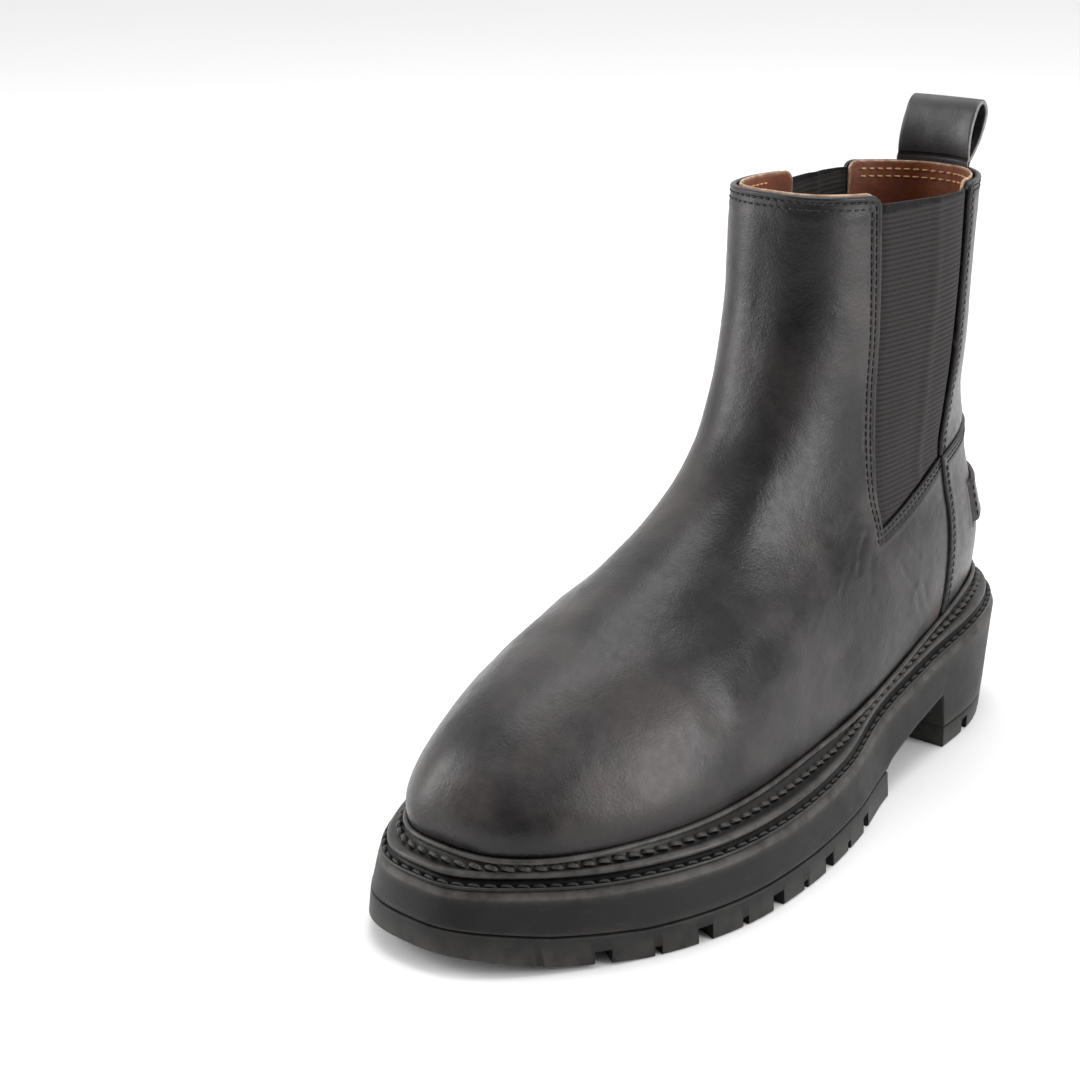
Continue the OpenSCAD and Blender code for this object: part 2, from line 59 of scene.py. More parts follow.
def make_camera():
    """Camera that looks down at the toe from the outer side."""
    forward = Vector((-0.70652, -0.61827, -0.34434)).normalized()
    right = forward.cross(Vector((0, 0, 1))).normalized()
    up = right.cross(forward)
    roll = math.radians(-0.945)
    c, s = math.cos(roll), math.sin(roll)
    axes = Matrix((c * right + s * up, c * up - s * right, -forward)).transposed()
    data = bpy.data.cameras.new("camera")
    data.lens, data.sensor_width = 72.5, 36
    camera = bpy.data.objects.new("camera", data)
    camera.matrix_world = Matrix.Translation((0.67961, 0.41266, 0.35464)) @ axes.to_4x4()
    bpy.context.scene.collection.objects.link(camera)
    bpy.context.scene.camera = camera


make_camera()


# ---------------------------------------------------------------- tables of the boot's shape

UP = np.array([0, 0, 1.0])
LEATHER_T, BACKING_T, LINING_T, PLY = 2.0, 0.9, 1.0, 0.05
D_BACK0 = LEATHER_T + PLY
D_BACK1 = D_BACK0 + BACKING_T
D_LINE0 = D_BACK1 + PLY
D_LINE1 = D_LINE0 + LINING_T
MIDSOLE_T, WELT_T, CLIMB, BEAD_R = 3.0, 1.9, 3.8, 1.0
TREAD_H, LIFT_H, BREAST_X = 10.0, 8.0, 29.0
SOLE_X0, SOLE_X1, SOLE_N = -39.0, 262.0, 3.0
SOLE_OUT = [44.5, 46.5, 43, 44.5, 54.5, 60.5, 62, 54.5, 36]
SOLE_IN = [40, 44, 42.5, 41, 47, 53.8, 55, 52, 44]
SOLE_MID = [0, 0, 0, 0, 0, -0.5, -2.2, -4.2, -6]
RUBBER_TOP = [(-39, 43.5), (0, 42.5), (32, 37.5), (52, 33.5), (72, 30), (92, 27.2),
              (112, 25.8), (152, 25), (192, 25), (232, 25.7), (262, 28)]
RUBBER_LOW = [(-39, LIFT_H), (BREAST_X - 0.6, LIFT_H), (BREAST_X + 0.6, 21.5), (50, 17.5),
              (72, 12), (76, TREAD_H), (215, TREAD_H), (240, TREAD_H + 2), (262, TREAD_H + 6)]
TREAD_LOW = [(60, 0), (215, 0), (240, 2), (262, 7.5)]
FLARE = [(-39, -4), (-20, -4), (28, 0), (60, 2), (100, 2.5), (225, 2.5), (262, 4)]
ROWS = np.array([
    [-32, 50, 249.5, 33, 2.4, 2.9, 0, -5], [-35, 62, 252.5, 47, 2.3, 2.8, 0, -5],
    [-35.5, 75, 243, 64, 2.3, 2.5, 0, -4], [-32.5, 89, 219, 78, 2.2, 2.3, 0, -3],
    [-29, 102, 185, 89, 2.2, 2.2, -1, -2], [-27, 116, 152, 102, 2.4, 2.2, -2, -1],
    [-27, 131, 124, 119, 2.55, 2.4, -3, 0], [-27.2, 150, 105, 142, 2.55, 2.7, -3, 0],
    [-27.2, 176, 94, 175, 2.5, 3.0, -3, 0], [-27.2, 206, 90, 213.5, 2.45, 3.2, -3, 0]])
WIDE_OUT = [[40, 38.5, 46, 52.5, 47], [43, 41.5, 46.5, 54, 48], [42, 41, 43, 48.5, 40],
            [38.5, 39, 39, 40.5, 34], [36, 36, 35.5, 34, 30], [31, 33, 33, 31, 28],
            [25, 32, 33, 30, 28], [24, 32, 33, 30, 28], [24, 32, 34, 31, 29],
            [27, 33, 34, 31.5, 29]]
WIDE_IN = [[39, 33, 33.5, 46, 40.5], [39, 36, 37, 48.5, 39.5], [38, 37, 38, 45.5, 35],
           [35, 37, 37, 39, 32], [31, 35, 35, 33, 30], [28, 33, 33, 31, 28],
           [27, 32, 31, 30, 27.5], [27, 32, 30, 29.5, 28], [27, 32, 29, 29.5, 29],
           [27, 33, 28.5, 29.5, 29]]
SEAM_ROW = [0.55, 0.53, 0.445, 0.40]
REAR_OUT = [21.5, 20.5, 19, 17, 17.5, 19, 17, 14.5, 12.5, 12.5]
REAR_IN = [20, 18.5, 16, 12.5, 11, 9.5, 6, 3, 0, -2]
FORE_OUT = [72, 70, 68, 67, 65, 66, 66, 64.5, 64, 65]
FORE_IN = [70, 68, 65, 61, 57, 54, 50, 45, 41, 38]
TAB_W, TAB_H, TAB_LEAN, TAB_T, TAB_GAP = 29.0, 21.0, 14.0, 1.8, 8.5
TAB_X, TAB_Y, TAB_Z = -25.2, -4.0, 208.55
# millimetres of height for each unit of w past the topline
RISE_PAST_TOP = 150


# ---------------------------------------------------------------- curves and the upper's surface

def clamp(x):
    return np.clip(x, 0, 1)


def bell(x):
    """1 at x = 0, falling smoothly to almost nothing at x = 2 on either side."""
    return np.exp(-(x ** 2))


def catmull(a, b, c, d, f):
    return 0.5 * (2 * b + (c - a) * f + (2 * a - 5 * b + 4 * c - d) * f * f
                  + (3 * b - a - 3 * c + d) * f ** 3)


def curve(values, t):
    """Smooth curve through the entries of values; t counts from the first entry."""
    v = np.asarray(values, float)
    k = len(v) - 1
    v = np.concatenate([[2 * v[0] - v[1]], v, [2 * v[-1] - v[-2]]])
    q = np.clip(np.asarray(t, float), 0, k)
    i = np.minimum(q.astype(int), k - 1)
    f = q - i
    if v.ndim == 2:
        f = f[..., None]
    return catmull(v[i], v[i + 1], v[i + 2], v[i + 3], f)


def curve_across(values, t):
    """The same along the last axis of values, which holds one list for each t."""
    v = np.concatenate([2 * values[..., :1] - values[..., 1:2], values,
                        2 * values[..., -1:] - values[..., -2:-1]], axis=-1)
    k = values.shape[-1] - 1
    q = np.clip(t, 0, k)
    i = np.minimum(q.astype(int), k - 1)
    pick = [np.take_along_axis(v, (i + j)[..., None], -1)[..., 0] for j in range(4)]
    return catmull(*pick, q - i)


def table(pairs, x, soften=0.0):
    """Straight-line lookup in (x, value) pairs, with its corners rounded over soften mm."""
    xs, ys = np.array(pairs, float).T
    if not soften:
        return np.interp(x, xs, ys)
    offsets = np.linspace(-1.5, 1.5, 13) * soften
    weights = bell(offsets / soften)
    ends = (2 * ys[0] - ys[1], 2 * ys[-1] - ys[-2])
    xs = np.concatenate([[2 * xs[0] - xs[1]], xs, [2 * xs[-1] - xs[-2]]])
    ys = np.concatenate([[ends[0]], ys, [ends[1]]])
    return sum(w * np.interp(np.asarray(x) + o, xs, ys)
               for o, w in zip(offsets, weights)) / weights.sum()


def top_z(x):
    return table(RUBBER_TOP, x, 7.0)


def unit(a):
    return a / np.maximum(np.linalg.norm(a, axis=-1, keepdims=True), 1e-9)


def round_end(p, n):
    return np.maximum(0, 1 - np.abs(np.cos(p)) ** n) ** (1 / n)


def skin(v, p):
    """Outer surface of the upper: v from sole to topline, p degrees from the back outwards."""
    v, p = np.broadcast_arrays(np.asarray(v, float), np.radians(np.asarray(p, float)))
    r = curve(ROWS, v * 9)
    t = (1 - np.cos(p)) / 2
    outer = curve_across(curve(WIDE_OUT, v * 9), t * 4)
    inner = curve_across(curve(WIDE_IN, v * 9), t * 4)
    wide = np.where(np.sin(p) >= 0, outer, inner)
    square = np.where(t < 0.5, r[..., 4], r[..., 5])
    x = r[..., 0] + t * (r[..., 2] - r[..., 0])
    y = r[..., 6] + t * (r[..., 7] - r[..., 6]) + np.sign(np.sin(p)) * wide * round_end(p, square)
    z = r[..., 1] + t * (r[..., 3] - r[..., 1])
    z0 = ROWS[0][1] + t * (ROWS[0][3] - ROWS[0][1])
    return np.stack([x, y, z + (1 - v) ** 4 * (top_z(x) + MIDSOLE_T + PLY - z0)], -1)


def skin_out(v, p):
    v = np.asarray(v, float)
    lo, hi = np.maximum(0, v - 0.01), np.minimum(1, v + 0.01)
    return unit(np.cross(skin(v, p - 0.8) - skin(v, p + 0.8), skin(hi, p) - skin(lo, p)))


def at_x(v, x):
    r = curve(ROWS, v * 9)
    return np.degrees(np.arccos(np.clip(1 - 2 * (x - r[..., 0]) / (r[..., 2] - r[..., 0]), -1, 1)))


def fold(u):
    return np.where(u < 0, -u, np.where(u > 3, 6 - u, u))


def share(u, w):
    s = curve(SEAM_ROW, fold(u))
    return np.clip(np.where(w < 1, w * s, s + (w - 1) * (1 - s)), 0, 1.02)


def angle(u, v):
    a = fold(u)
    inside = (u < 0) | (u > 3)
    rear = at_x(v, np.where(inside, curve(REAR_IN, v * 9), curve(REAR_OUT, v * 9)))
    fore = at_x(v, np.where(inside, curve(FORE_IN, v * 9), curve(FORE_OUT, v * 9)))
    p = np.where(a < 1, a * rear, np.where(a < 2, rear + (a - 1) * (fore - rear),
                                           fore + (a - 2) * (180 - fore)))
    return np.where(u < 0, -p, np.where(u <= 3, p, 360 - p))


def panel(u, w, d=0.0, with_normal=False):
    """Point at depth d below the leather. u: 0 back, 1 side seam, 2 gore front, 3 front, then on
    to 5 along the inner side; w: 0 sole, 1 long seam, 2 topline."""
    u, w = np.broadcast_arrays(np.asarray(u, float), np.asarray(w, float))
    v = share(u, w)
    p = angle(u, v)
    over = np.maximum(v - 1, 0)[..., None]
    at = skin(np.minimum(v, 1), p) + over * RISE_PAST_TOP * UP
    out = skin_out(np.minimum(v, 1), p)
    at = at - np.asarray(d)[..., None] * out
    return (at, out) if with_normal else at


def spans(u, w):
    """Millimetres per unit of u and of w, each measured square to the other direction."""
    h = 0.01
    wl = np.minimum(w, 1.98)
    du = (panel(u + h, wl) - panel(u - h, wl)) / (2 * h)
    dw = (panel(u, wl + h) - panel(u, wl - h)) / (2 * h)
    area = np.linalg.norm(np.cross(du, dw), axis=-1)
    return area / np.linalg.norm(dw, axis=-1), area / np.linalg.norm(du, axis=-1)


def spans_below_top(u):
    """The same close below the topline."""
    return spans(u, np.full(np.shape(u), 1.96))


# ---------------------------------------------------------------- mesh helpers

def join(parts):
    """Joins (points, quads, triangles) parts into one."""
    pts, quads, tris, n = [], [], [], 0
    for p, q, t in parts:
        pts.append(p)
        quads.append(np.asarray(q, int).reshape(-1, 4) + n)
        tris.append(np.asarray(t, int).reshape(-1, 3) + n)
        n += len(p)
    return np.concatenate(pts), np.concatenate(quads), np.concatenate(tris)


def tube_quads(stations, sides):
    """Quads between rings of points that follow each other along a tube."""
    i, j = [a.ravel() for a in np.meshgrid(np.arange(stations - 1), np.arange(sides), indexing="ij")]
    k = (j + 1) % sides
    return np.stack([i * sides + j, (i + 1) * sides + j, (i + 1) * sides + k, i * sides + k], 1)


def walked(pts):
    """Length along a path up to each of its points."""
    return np.concatenate([[0], np.cumsum(np.linalg.norm(np.diff(pts, axis=0), axis=1))])


def along(values, s, at):
    """Rows of values, known at the lengths s, looked up at other lengths."""
    return np.stack([np.interp(at, s, values[:, k]) for k in range(3)], -1)


def build(name, pts, quads, tris=(), material=None, marks=None, smooth=True):
    """Mesh object from millimetre points, with one float attribute for each mark."""
    quads = np.asarray(quads, int).reshape(-1, 4)
    tris = np.asarray(tris, int).reshape(-1, 3)
    mesh = bpy.data.meshes.new(name)
    mesh.vertices.add(len(pts))
    mesh.vertices.foreach_set("co", (np.asarray(pts, float) * MM).astype(np.float32).ravel())
    mesh.loops.add(quads.size + tris.size)
    corners = np.concatenate([quads.ravel(), tris.ravel()]).astype(np.int32)
    mesh.loops.foreach_set("vertex_index", corners)
    mesh.polygons.add(len(quads) + len(tris))
    starts = np.concatenate([np.arange(len(quads)) * 4, quads.size + np.arange(len(tris)) * 3])
    mesh.polygons.foreach_set("loop_start", starts.astype(np.int32))
    mesh.update(calc_edges=True)
    for key, values in (marks or {}).items():
        mesh.attributes.new(key, "FLOAT", "POINT").data.foreach_set(
            "value", np.asarray(values, np.float32))
    work = bmesh.new()
    work.from_mesh(mesh)
    loose = [v for v in work.verts if not v.link_faces]
    bmesh.ops.delete(work, geom=loose, context="VERTS")
    bmesh.ops.recalc_face_normals(work, faces=work.faces)
    for face in work.faces:
        face.smooth = smooth
    work.to_mesh(mesh)
    work.free()
    obj = bpy.data.objects.new(name, mesh)
    bpy.context.scene.collection.objects.link(obj)
    if material:
        mesh.materials.append(material)
    return obj


def place(obj, how, slot, *nodes):
    """Ties a piece to its body and hides the CAD nodes it stands for."""
    if how == "bend":
        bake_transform(obj)
    elif how == "root":
        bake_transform(obj)
    else:
        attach(obj, how)
    if nodes:
        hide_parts(*nodes)
    return obj


def nearest(points, targets):
    """Distance from each point to the nearest target point."""
    tree = KDTree(len(targets))
    for i, t in enumerate(targets):
        tree.insert(t, i)
    tree.balance()
    flat = np.asarray(points).reshape(-1, 3)
    return np.array([tree.find(q)[2] for q in flat]).reshape(np.asarray(points).shape[:-1])


def ripple(points, size, seed, octaves=3):
    """Smooth noise about -1 to 1 with features of the given size in mm."""
    flat = np.asarray(points).reshape(-1, 3) / size + seed
    out = np.array([noise.fractal(q, 1.0, 2.0, octaves) for q in flat])
    return out.reshape(np.asarray(points).shape[:-1])


# short creases pressed into the leather: (x, z) of both ends, side (1 outer, -1 inner), depth
CREASES = [
    ((58, 82), (48, 70), 1, 0.35), ((52, 88), (44, 80), 1, 0.25), ((47, 66), (40, 55), 1, 0.3),
    ((41, 70), (35, 57), 1, 0.25), ((76, 96), (84, 86), 1, 0.3), ((80, 104), (90, 95), 1, 0.25),
    ((74, 88), (78, 78), 1, 0.25), ((86, 90), (97, 80), 1, 0.2), ((56, 80), (47, 68), -1, 0.3),
    ((78, 98), (88, 88), -1, 0.3), ((46, 66), (38, 56), -1, 0.25), ((82, 88), (92, 77), -1, 0.25),
    ((104, 84), (116, 76), 1, 0.2), ((110, 62), (122, 54), 1, 0.2)]


# how uneven the leather is, in three sizes: height in mm, size in mm, seed, octaves of noise
UNEVEN = ((0.42, 38, 3.1, 2), (0.1, 12, 7.7, 3), (0.03, 3.4, 1.3, 2))


def relief(points):
    """How far the leather's surface stands off its smooth shape, in mm."""
    p = np.asarray(points)
    out = sum(height * ripple(p, *look) for height, *look in UNEVEN)
    wander = ripple(p, 7, 8.8, 2)
    flex = bell((p[..., 0] - 175) / 26) * (p[..., 2] > 60)
    out += 0.16 * flex * np.sin(p[..., 0] / 3.1 + 2.2 * ripple(p, 26, 5.5, 2))
    for (x0, z0), (x1, z1), side, deep in CREASES:
        ax, az = x1 - x0, z1 - z0
        t = clamp(((p[..., 0] - x0) * ax + (p[..., 2] - z0) * az) / (ax * ax + az * az))
        bow = 1.2 * np.sin(np.pi * t)
        gap = np.hypot(p[..., 0] - x0 - t * ax - bow, p[..., 2] - z0 - t * az)
        gap = gap + 0.9 * wander
        groove = bell(gap / 1.2) - 0.5 * bell((gap - 2.6) / 1.4)
        out -= (p[..., 1] * side > 0) * 0.45 * deep * groove
    return out


# ---------------------------------------------------------------- materials

class Paint:
    """Small builder for node materials."""

    def __init__(self, name, **sockets):
        self.material = bpy.data.materials.new(name)
        self.material.use_nodes = True
        self.tree = self.material.node_tree
        self.shader = self.tree.nodes["Principled BSDF"]
        for key, value in sockets.items():
            self.set(self.shader, key.replace("_", " "), value)
        self.coord = self.node("TexCoord").outputs["Object"]

    def set(self, node, key, value):
        socket = node.inputs[key]
        if isinstance(value, bpy.types.NodeSocket):
            self.tree.links.new(value, socket)
        elif isinstance(value, (tuple, list)) and len(value) == 3 and socket.type == "RGBA":
            socket.default_value = (*value, 1)
        else:
            socket.default_value = value

    def node(self, kind, inputs=None, **settings):
        node = self.tree.nodes.new("ShaderNode" + kind)
        for key, value in settings.items():
            setattr(node, key, value)
        for key, value in (inputs or {}).items():
            self.set(node, key, value)
        return node

    def noise(self, scale, detail=4, rough=0.55, vector=None):
        return self.node("TexNoise", {"Vector": vector or self.coord, "Scale": scale,
                                      "Detail": detail, "Roughness": rough}).outputs["Fac"]

    def cells(self, scale, vector=None, feature="F1", kind="Distance"):
        return self.node("TexVoronoi", {"Vector": vector or self.coord, "Scale": scale},
                         feature=feature).outputs[kind]

    def stretch(self, scale):
        return self.node("Mapping", {"Vector": self.coord, "Scale": scale}).outputs["Vector"]

    def mark(self, name):
        return self.node("Attribute", attribute_name=name).outputs["Fac"]

    def remap(self, value, low, high, to_low=0.0, to_high=1.0):
        return self.node("MapRange", {"Value": value, "From Min": low, "From Max": high,
                                      "To Min": to_low, "To Max": to_high}).outputs["Result"]

    def math(self, operation, a, b=0.0):
        return self.node("Math", {0: a, 1: b}, operation=operation).outputs[0]

    def times(self, a, b):
        return self.math("MULTIPLY", a, b)

    def mix(self, factor, a, b):
        node = self.node("Mix", data_type="RGBA")
        self.set(node, 0, factor)
        self.set(node, 6, a)
        self.set(node, 7, b)
        return node.outputs[2]

    def finish(self, color, rough, *bumps):
        self.set(self.shader, "Base Color", color)
        self.set(self.shader, "Roughness", rough)
        normal = None
        for height, strength, distance in bumps:
            node = self.node("Bump", {"Height": height, "Strength": strength, "Distance": distance})
            if normal:
                self.set(node, "Normal", normal)
            normal = node.outputs["Normal"]
        if normal:
            self.set(self.shader, "Normal", normal)
        return self.material


def black_leather(name, dark, light, gloss, seed=0.0):
    """Waxed leather: dark ground, lighter rubbed patches, fine grain, soft pale wear at edges."""
    m = Paint(name, Specular_IOR_Level=0.3, Coat_Weight=0.06, Coat_Roughness=0.3)
    shifted = m.node("Mapping", {"Vector": m.coord, "Location": (seed, seed, seed)}).outputs["Vector"]
    patch = m.remap(m.noise(17, 4, 0.55, shifted), 0.42, 0.61)
    streak = m.remap(m.noise(75, 6, 0.7, shifted), 0.4, 0.7)
    rub = m.times(patch, m.remap(streak, 0, 1, 0.55, 1.0))
    color = m.mix(rub, dark, light)
    warm = m.remap(m.noise(33, 3, 0.5, shifted), 0.43, 0.62, 0, 0.7)
    color = m.mix(m.times(warm, rub), color, (0.055, 0.041, 0.038))
    # darker at the foot of the upper, and painted shade in a band up the shin's front
    color = m.mix(m.times(m.mark("dark_foot_and_shade"), 0.85), color, dark)
    # darker along the sheets' edges and the rows of stitches
    dark_edges_and_rows = m.math("MAXIMUM", m.times(m.mark("worn"), 0.85),
                     m.times(m.mark("seam"), 0.8))
    color = m.mix(dark_edges_and_rows, color, (0.004, 0.0039, 0.004))
    chafed = m.times(m.mark("worn"), m.remap(m.noise(230, 4), 0.6, 0.7, 0, 0.35))
    color = m.mix(chafed, color, (0.09, 0.082, 0.08))
    rough = m.math("ADD", m.remap(rub, 0, 1, gloss, gloss + 0.1),
                   m.remap(m.noise(300, 2), 0.3, 0.7, -0.04, 0.05))
    crackle = m.remap(m.cells(210, m.stretch((1.0, 1.0, 1.6)), "DISTANCE_TO_EDGE"), 0.0, 0.05)
    grain = m.cells(1300, feature="SMOOTH_F1")
    pores = m.cells(620)
    return m.finish(color, rough, (m.noise(150, 5, 0.6), 0.35, 0.0006), (grain, 0.22, 0.00022),
                    (pores, 0.1, 0.0002), (crackle, 0.12, 0.00012))


def tan_leather():
    m = Paint("tan_lining", Specular_IOR_Level=0.4, Sheen_Weight=0.08)
    tone = m.remap(m.noise(38, 4, 0.6), 0.35, 0.68)
    color = m.mix(tone, (0.105, 0.026, 0.011), (0.21, 0.061, 0.025))
    color = m.mix(m.remap(m.noise(260, 4), 0.55, 0.75, 0, 0.5), color, (0.07, 0.021, 0.01))
    fray = m.times(m.mark("raw"), m.remap(m.noise(260, 3), 0.35, 0.6, 0.25, 1.0))
    color = m.mix(fray, color, m.mix(m.noise(700, 2), (0.34, 0.2, 0.11), (0.6, 0.45, 0.32)))
    return m.finish(color, m.remap(m.noise(120, 3), 0.3, 0.7, 0.38, 0.55),
                    (m.noise(170, 5), 0.4, 0.0006), (m.cells(1500, feature="SMOOTH_F1"), 0.3, 0.0002))


def cloth(name, base, pale, pitch=1500):
    """Woven cloth from two crossed waves of thread."""
    m = Paint(name, Specular_IOR_Level=0.2, Sheen_Weight=0.2)
    across = m.node("TexWave", {"Vector": m.coord, "Scale": pitch / 6.28, "Distortion": 0.6},
                    bands_direction="Z").outputs["Fac"]
    along = m.node("TexWave", {"Vector": m.coord, "Scale": pitch / 6.28, "Distortion": 0.6},
                   bands_direction="X").outputs["Fac"]
    weave = m.math("MAXIMUM", across, along)
    color = m.mix(m.times(weave, m.remap(m.noise(60, 3), 0.3, 0.7, 0.4, 1)), base, pale)
    return m.finish(color, 0.9, (weave, 0.5, 0.0002))


def elastic():
    """Ribbed elastic: matt black with dusty crests and fine cross threads between the ribs."""
    m = Paint("elastic", Specular_IOR_Level=0.15, Sheen_Weight=0.06, Sheen_Roughness=0.4)
    crest = m.mark("crest")
    threads = m.noise(900, 2, 0.5, m.stretch((3.0, 3.0, 0.35)))
    color = m.mix(crest, (0.004, 0.0038, 0.004), (0.03, 0.0272, 0.0268))
    color = m.mix(m.remap(threads, 0.45, 0.7, 0, 0.45), color, (0.036, 0.034, 0.033))
    return m.finish(color, m.remap(threads, 0.3, 0.7, 0.72, 0.9), (threads, 0.5, 0.0003))


def rubber(name, base, dust, gloss):
    """Moulded rubber: faint mottling, scuffs and a dusty bloom on worn edges."""
    m = Paint(name, Specular_IOR_Level=0.24)
    mottled = m.remap(m.noise(45, 5, 0.6), 0.35, 0.7)
    scuff = m.remap(m.noise(240, 6, 0.7, m.stretch((0.5, 0.5, 2.0))), 0.56, 0.74)
    color = m.mix(m.times(mottled, 0.6), base, dust)
    color = m.mix(m.times(scuff, 0.35), color, (0.032, 0.03, 0.029))
    color = m.mix(m.times(m.mark("worn"), m.remap(m.noise(180, 3), 0.3, 0.65, 0.25, 0.8)),
                  color, (0.085, 0.081, 0.077))
    rough = m.remap(m.noise(90, 3), 0.3, 0.7, gloss - 0.05, gloss + 0.09)
    return m.finish(color, rough, (m.noise(900, 3), 0.12, 0.0003), (m.noise(60, 3), 0.25, 0.0008))


def thread(name, dark, light):
    m = Paint(name, Specular_IOR_Level=0.3, Sheen_Weight=0.04)
    ply = m.noise(1100, 2, 0.6, m.stretch((1.0, 1.0, 2.5)))
    return m.finish(m.mix(m.remap(ply, 0.35, 0.65), dark, light), 0.5, (ply, 0.5, 0.0002))


def speckled(name, base, pale, scale, rough, metallic=0.0):
    m = Paint(name, Metallic=metallic)
    spots = m.remap(m.cells(scale), 0.1, 0.7)
    color = m.mix(m.times(spots, m.noise(scale / 4, 3)), base, pale)
    return m.finish(color, rough, (m.noise(scale, 4), 0.3, 0.0003))


def strap_raw():
    m = Paint("strap_leather_raw", Specular_IOR_Level=0.45, Coat_Weight=0.1, Coat_Roughness=0.4)
    tone = m.remap(m.noise(60, 4, 0.55), 0.35, 0.68)
    color = m.mix(tone, (0.018, 0.0178, 0.02), (0.042, 0.0405, 0.042))
    color = m.mix(m.times(m.mark("raw"), m.remap(m.noise(500, 3), 0.3, 0.6, 0.4, 1.0)),
                  color, (0.2, 0.19, 0.185))
    return m.finish(color, m.remap(m.noise(200, 3), 0.3, 0.7, 0.4, 0.52),
                    (m.noise(240, 5), 0.3, 0.0005), (m.cells(1400, feature="SMOOTH_F1"), 0.2, 0.0002))


MAT = {
    "upper": black_leather("black_leather", (0.0038, 0.0036, 0.004), (0.046, 0.0405, 0.042), 0.34),
    "heel": black_leather("black_leather_heel", (0.006, 0.0057, 0.006), (0.045, 0.041, 0.041), 0.36, 3.0),
    "strap": black_leather("strap_leather", (0.018, 0.0175, 0.0185), (0.04, 0.039, 0.04), 0.42, 5.0),
    "strap_raw": strap_raw(),
    "tan": tan_leather(),
    "backing": cloth("cloth_backing", (0.34, 0.3, 0.25), (0.55, 0.5, 0.42)),
    "elastic": elastic(),
    "welt": rubber("welt", (0.0032, 0.0031, 0.0032), (0.0085, 0.0081, 0.008), 0.38),
    "rubber": rubber("rubber", (0.0048, 0.0046, 0.0046), (0.0155, 0.0142, 0.0138), 0.5),
    "thread": thread("thread", (0.004, 0.0039, 0.004), (0.016, 0.0152, 0.0148)),
    "welt_thread": thread("welt_thread", (0.009, 0.0084, 0.008), (0.046, 0.041, 0.037)),
    "tan_thread": thread("tan_thread", (0.42, 0.2, 0.07), (0.66, 0.42, 0.2)),
    "footbed": speckled("footbed_leather", (0.16, 0.07, 0.03), (0.28, 0.13, 0.06), 300, 0.6),
    "fibre": speckled("stiffener", (0.45, 0.4, 0.32), (0.66, 0.6, 0.5), 900, 0.85),
    "board": speckled("insole_board", (0.36, 0.24, 0.12), (0.52, 0.38, 0.22), 700, 0.85),
    "cork": speckled("cork", (0.3, 0.17, 0.07), (0.6, 0.4, 0.2), 380, 0.9),
    "steel": speckled("steel", (0.4, 0.4, 0.42), (0.6, 0.6, 0.62), 500, 0.35, 1.0),
}
for node_name, key in (("toe_puff", "fibre"), ("heel_stiffener", "fibre"), ("insole_board", "board"),
                       ("cork_filler", "cork"), ("shank", "steel")):
    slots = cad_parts[node_name].data.materials
    slots.clear()
    slots.append(MAT[key])


# ---------------------------------------------------------------- sheets of the upper

def dense(a, b, n, near_a=(), near_b=()):
    """n + 1 even values from a to b with extra ones close to the ends."""
    values = list(np.linspace(a, b, n + 1)) + [a + o for o in near_a] + [b - o for o in near_b]
    return np.array(sorted(set(round(float(v), 6) for v in values)))


def rounded_corner(u, w, u_edge, side, radius):
    """Pulls grid points in so that the sheet's corner at (u_edge, top) becomes an arc."""
    su, sw = spans_below_top(u_edge + side * 0.03)
    a = side * (u - u_edge) * su / radius
    b = (2 - w) * sw / radius
    near = (a < 1) & (b < 1) & (a > -1e-6)
    x, y = 1 - clamp(a), 1 - clamp(b)
    x2, y2 = x * np.sqrt(1 - y * y / 2), y * np.sqrt(1 - x * x / 2)
    return (np.where(near, u_edge + side * (1 - x2) * radius / su, u),
            np.where(near, 2 - (1 - y2) * radius / sw, w))


# painted shade: a dark band up the shin's front that stands in for the shaft's dark reflection; its middle
# and width in u, where it starts and fades in by w
SHADE_BAND_U, SHADE_BAND_WIDE, SHADE_BAND_FROM, SHADE_BAND_FADE = 2.66, 0.36, 0.45, 0.5


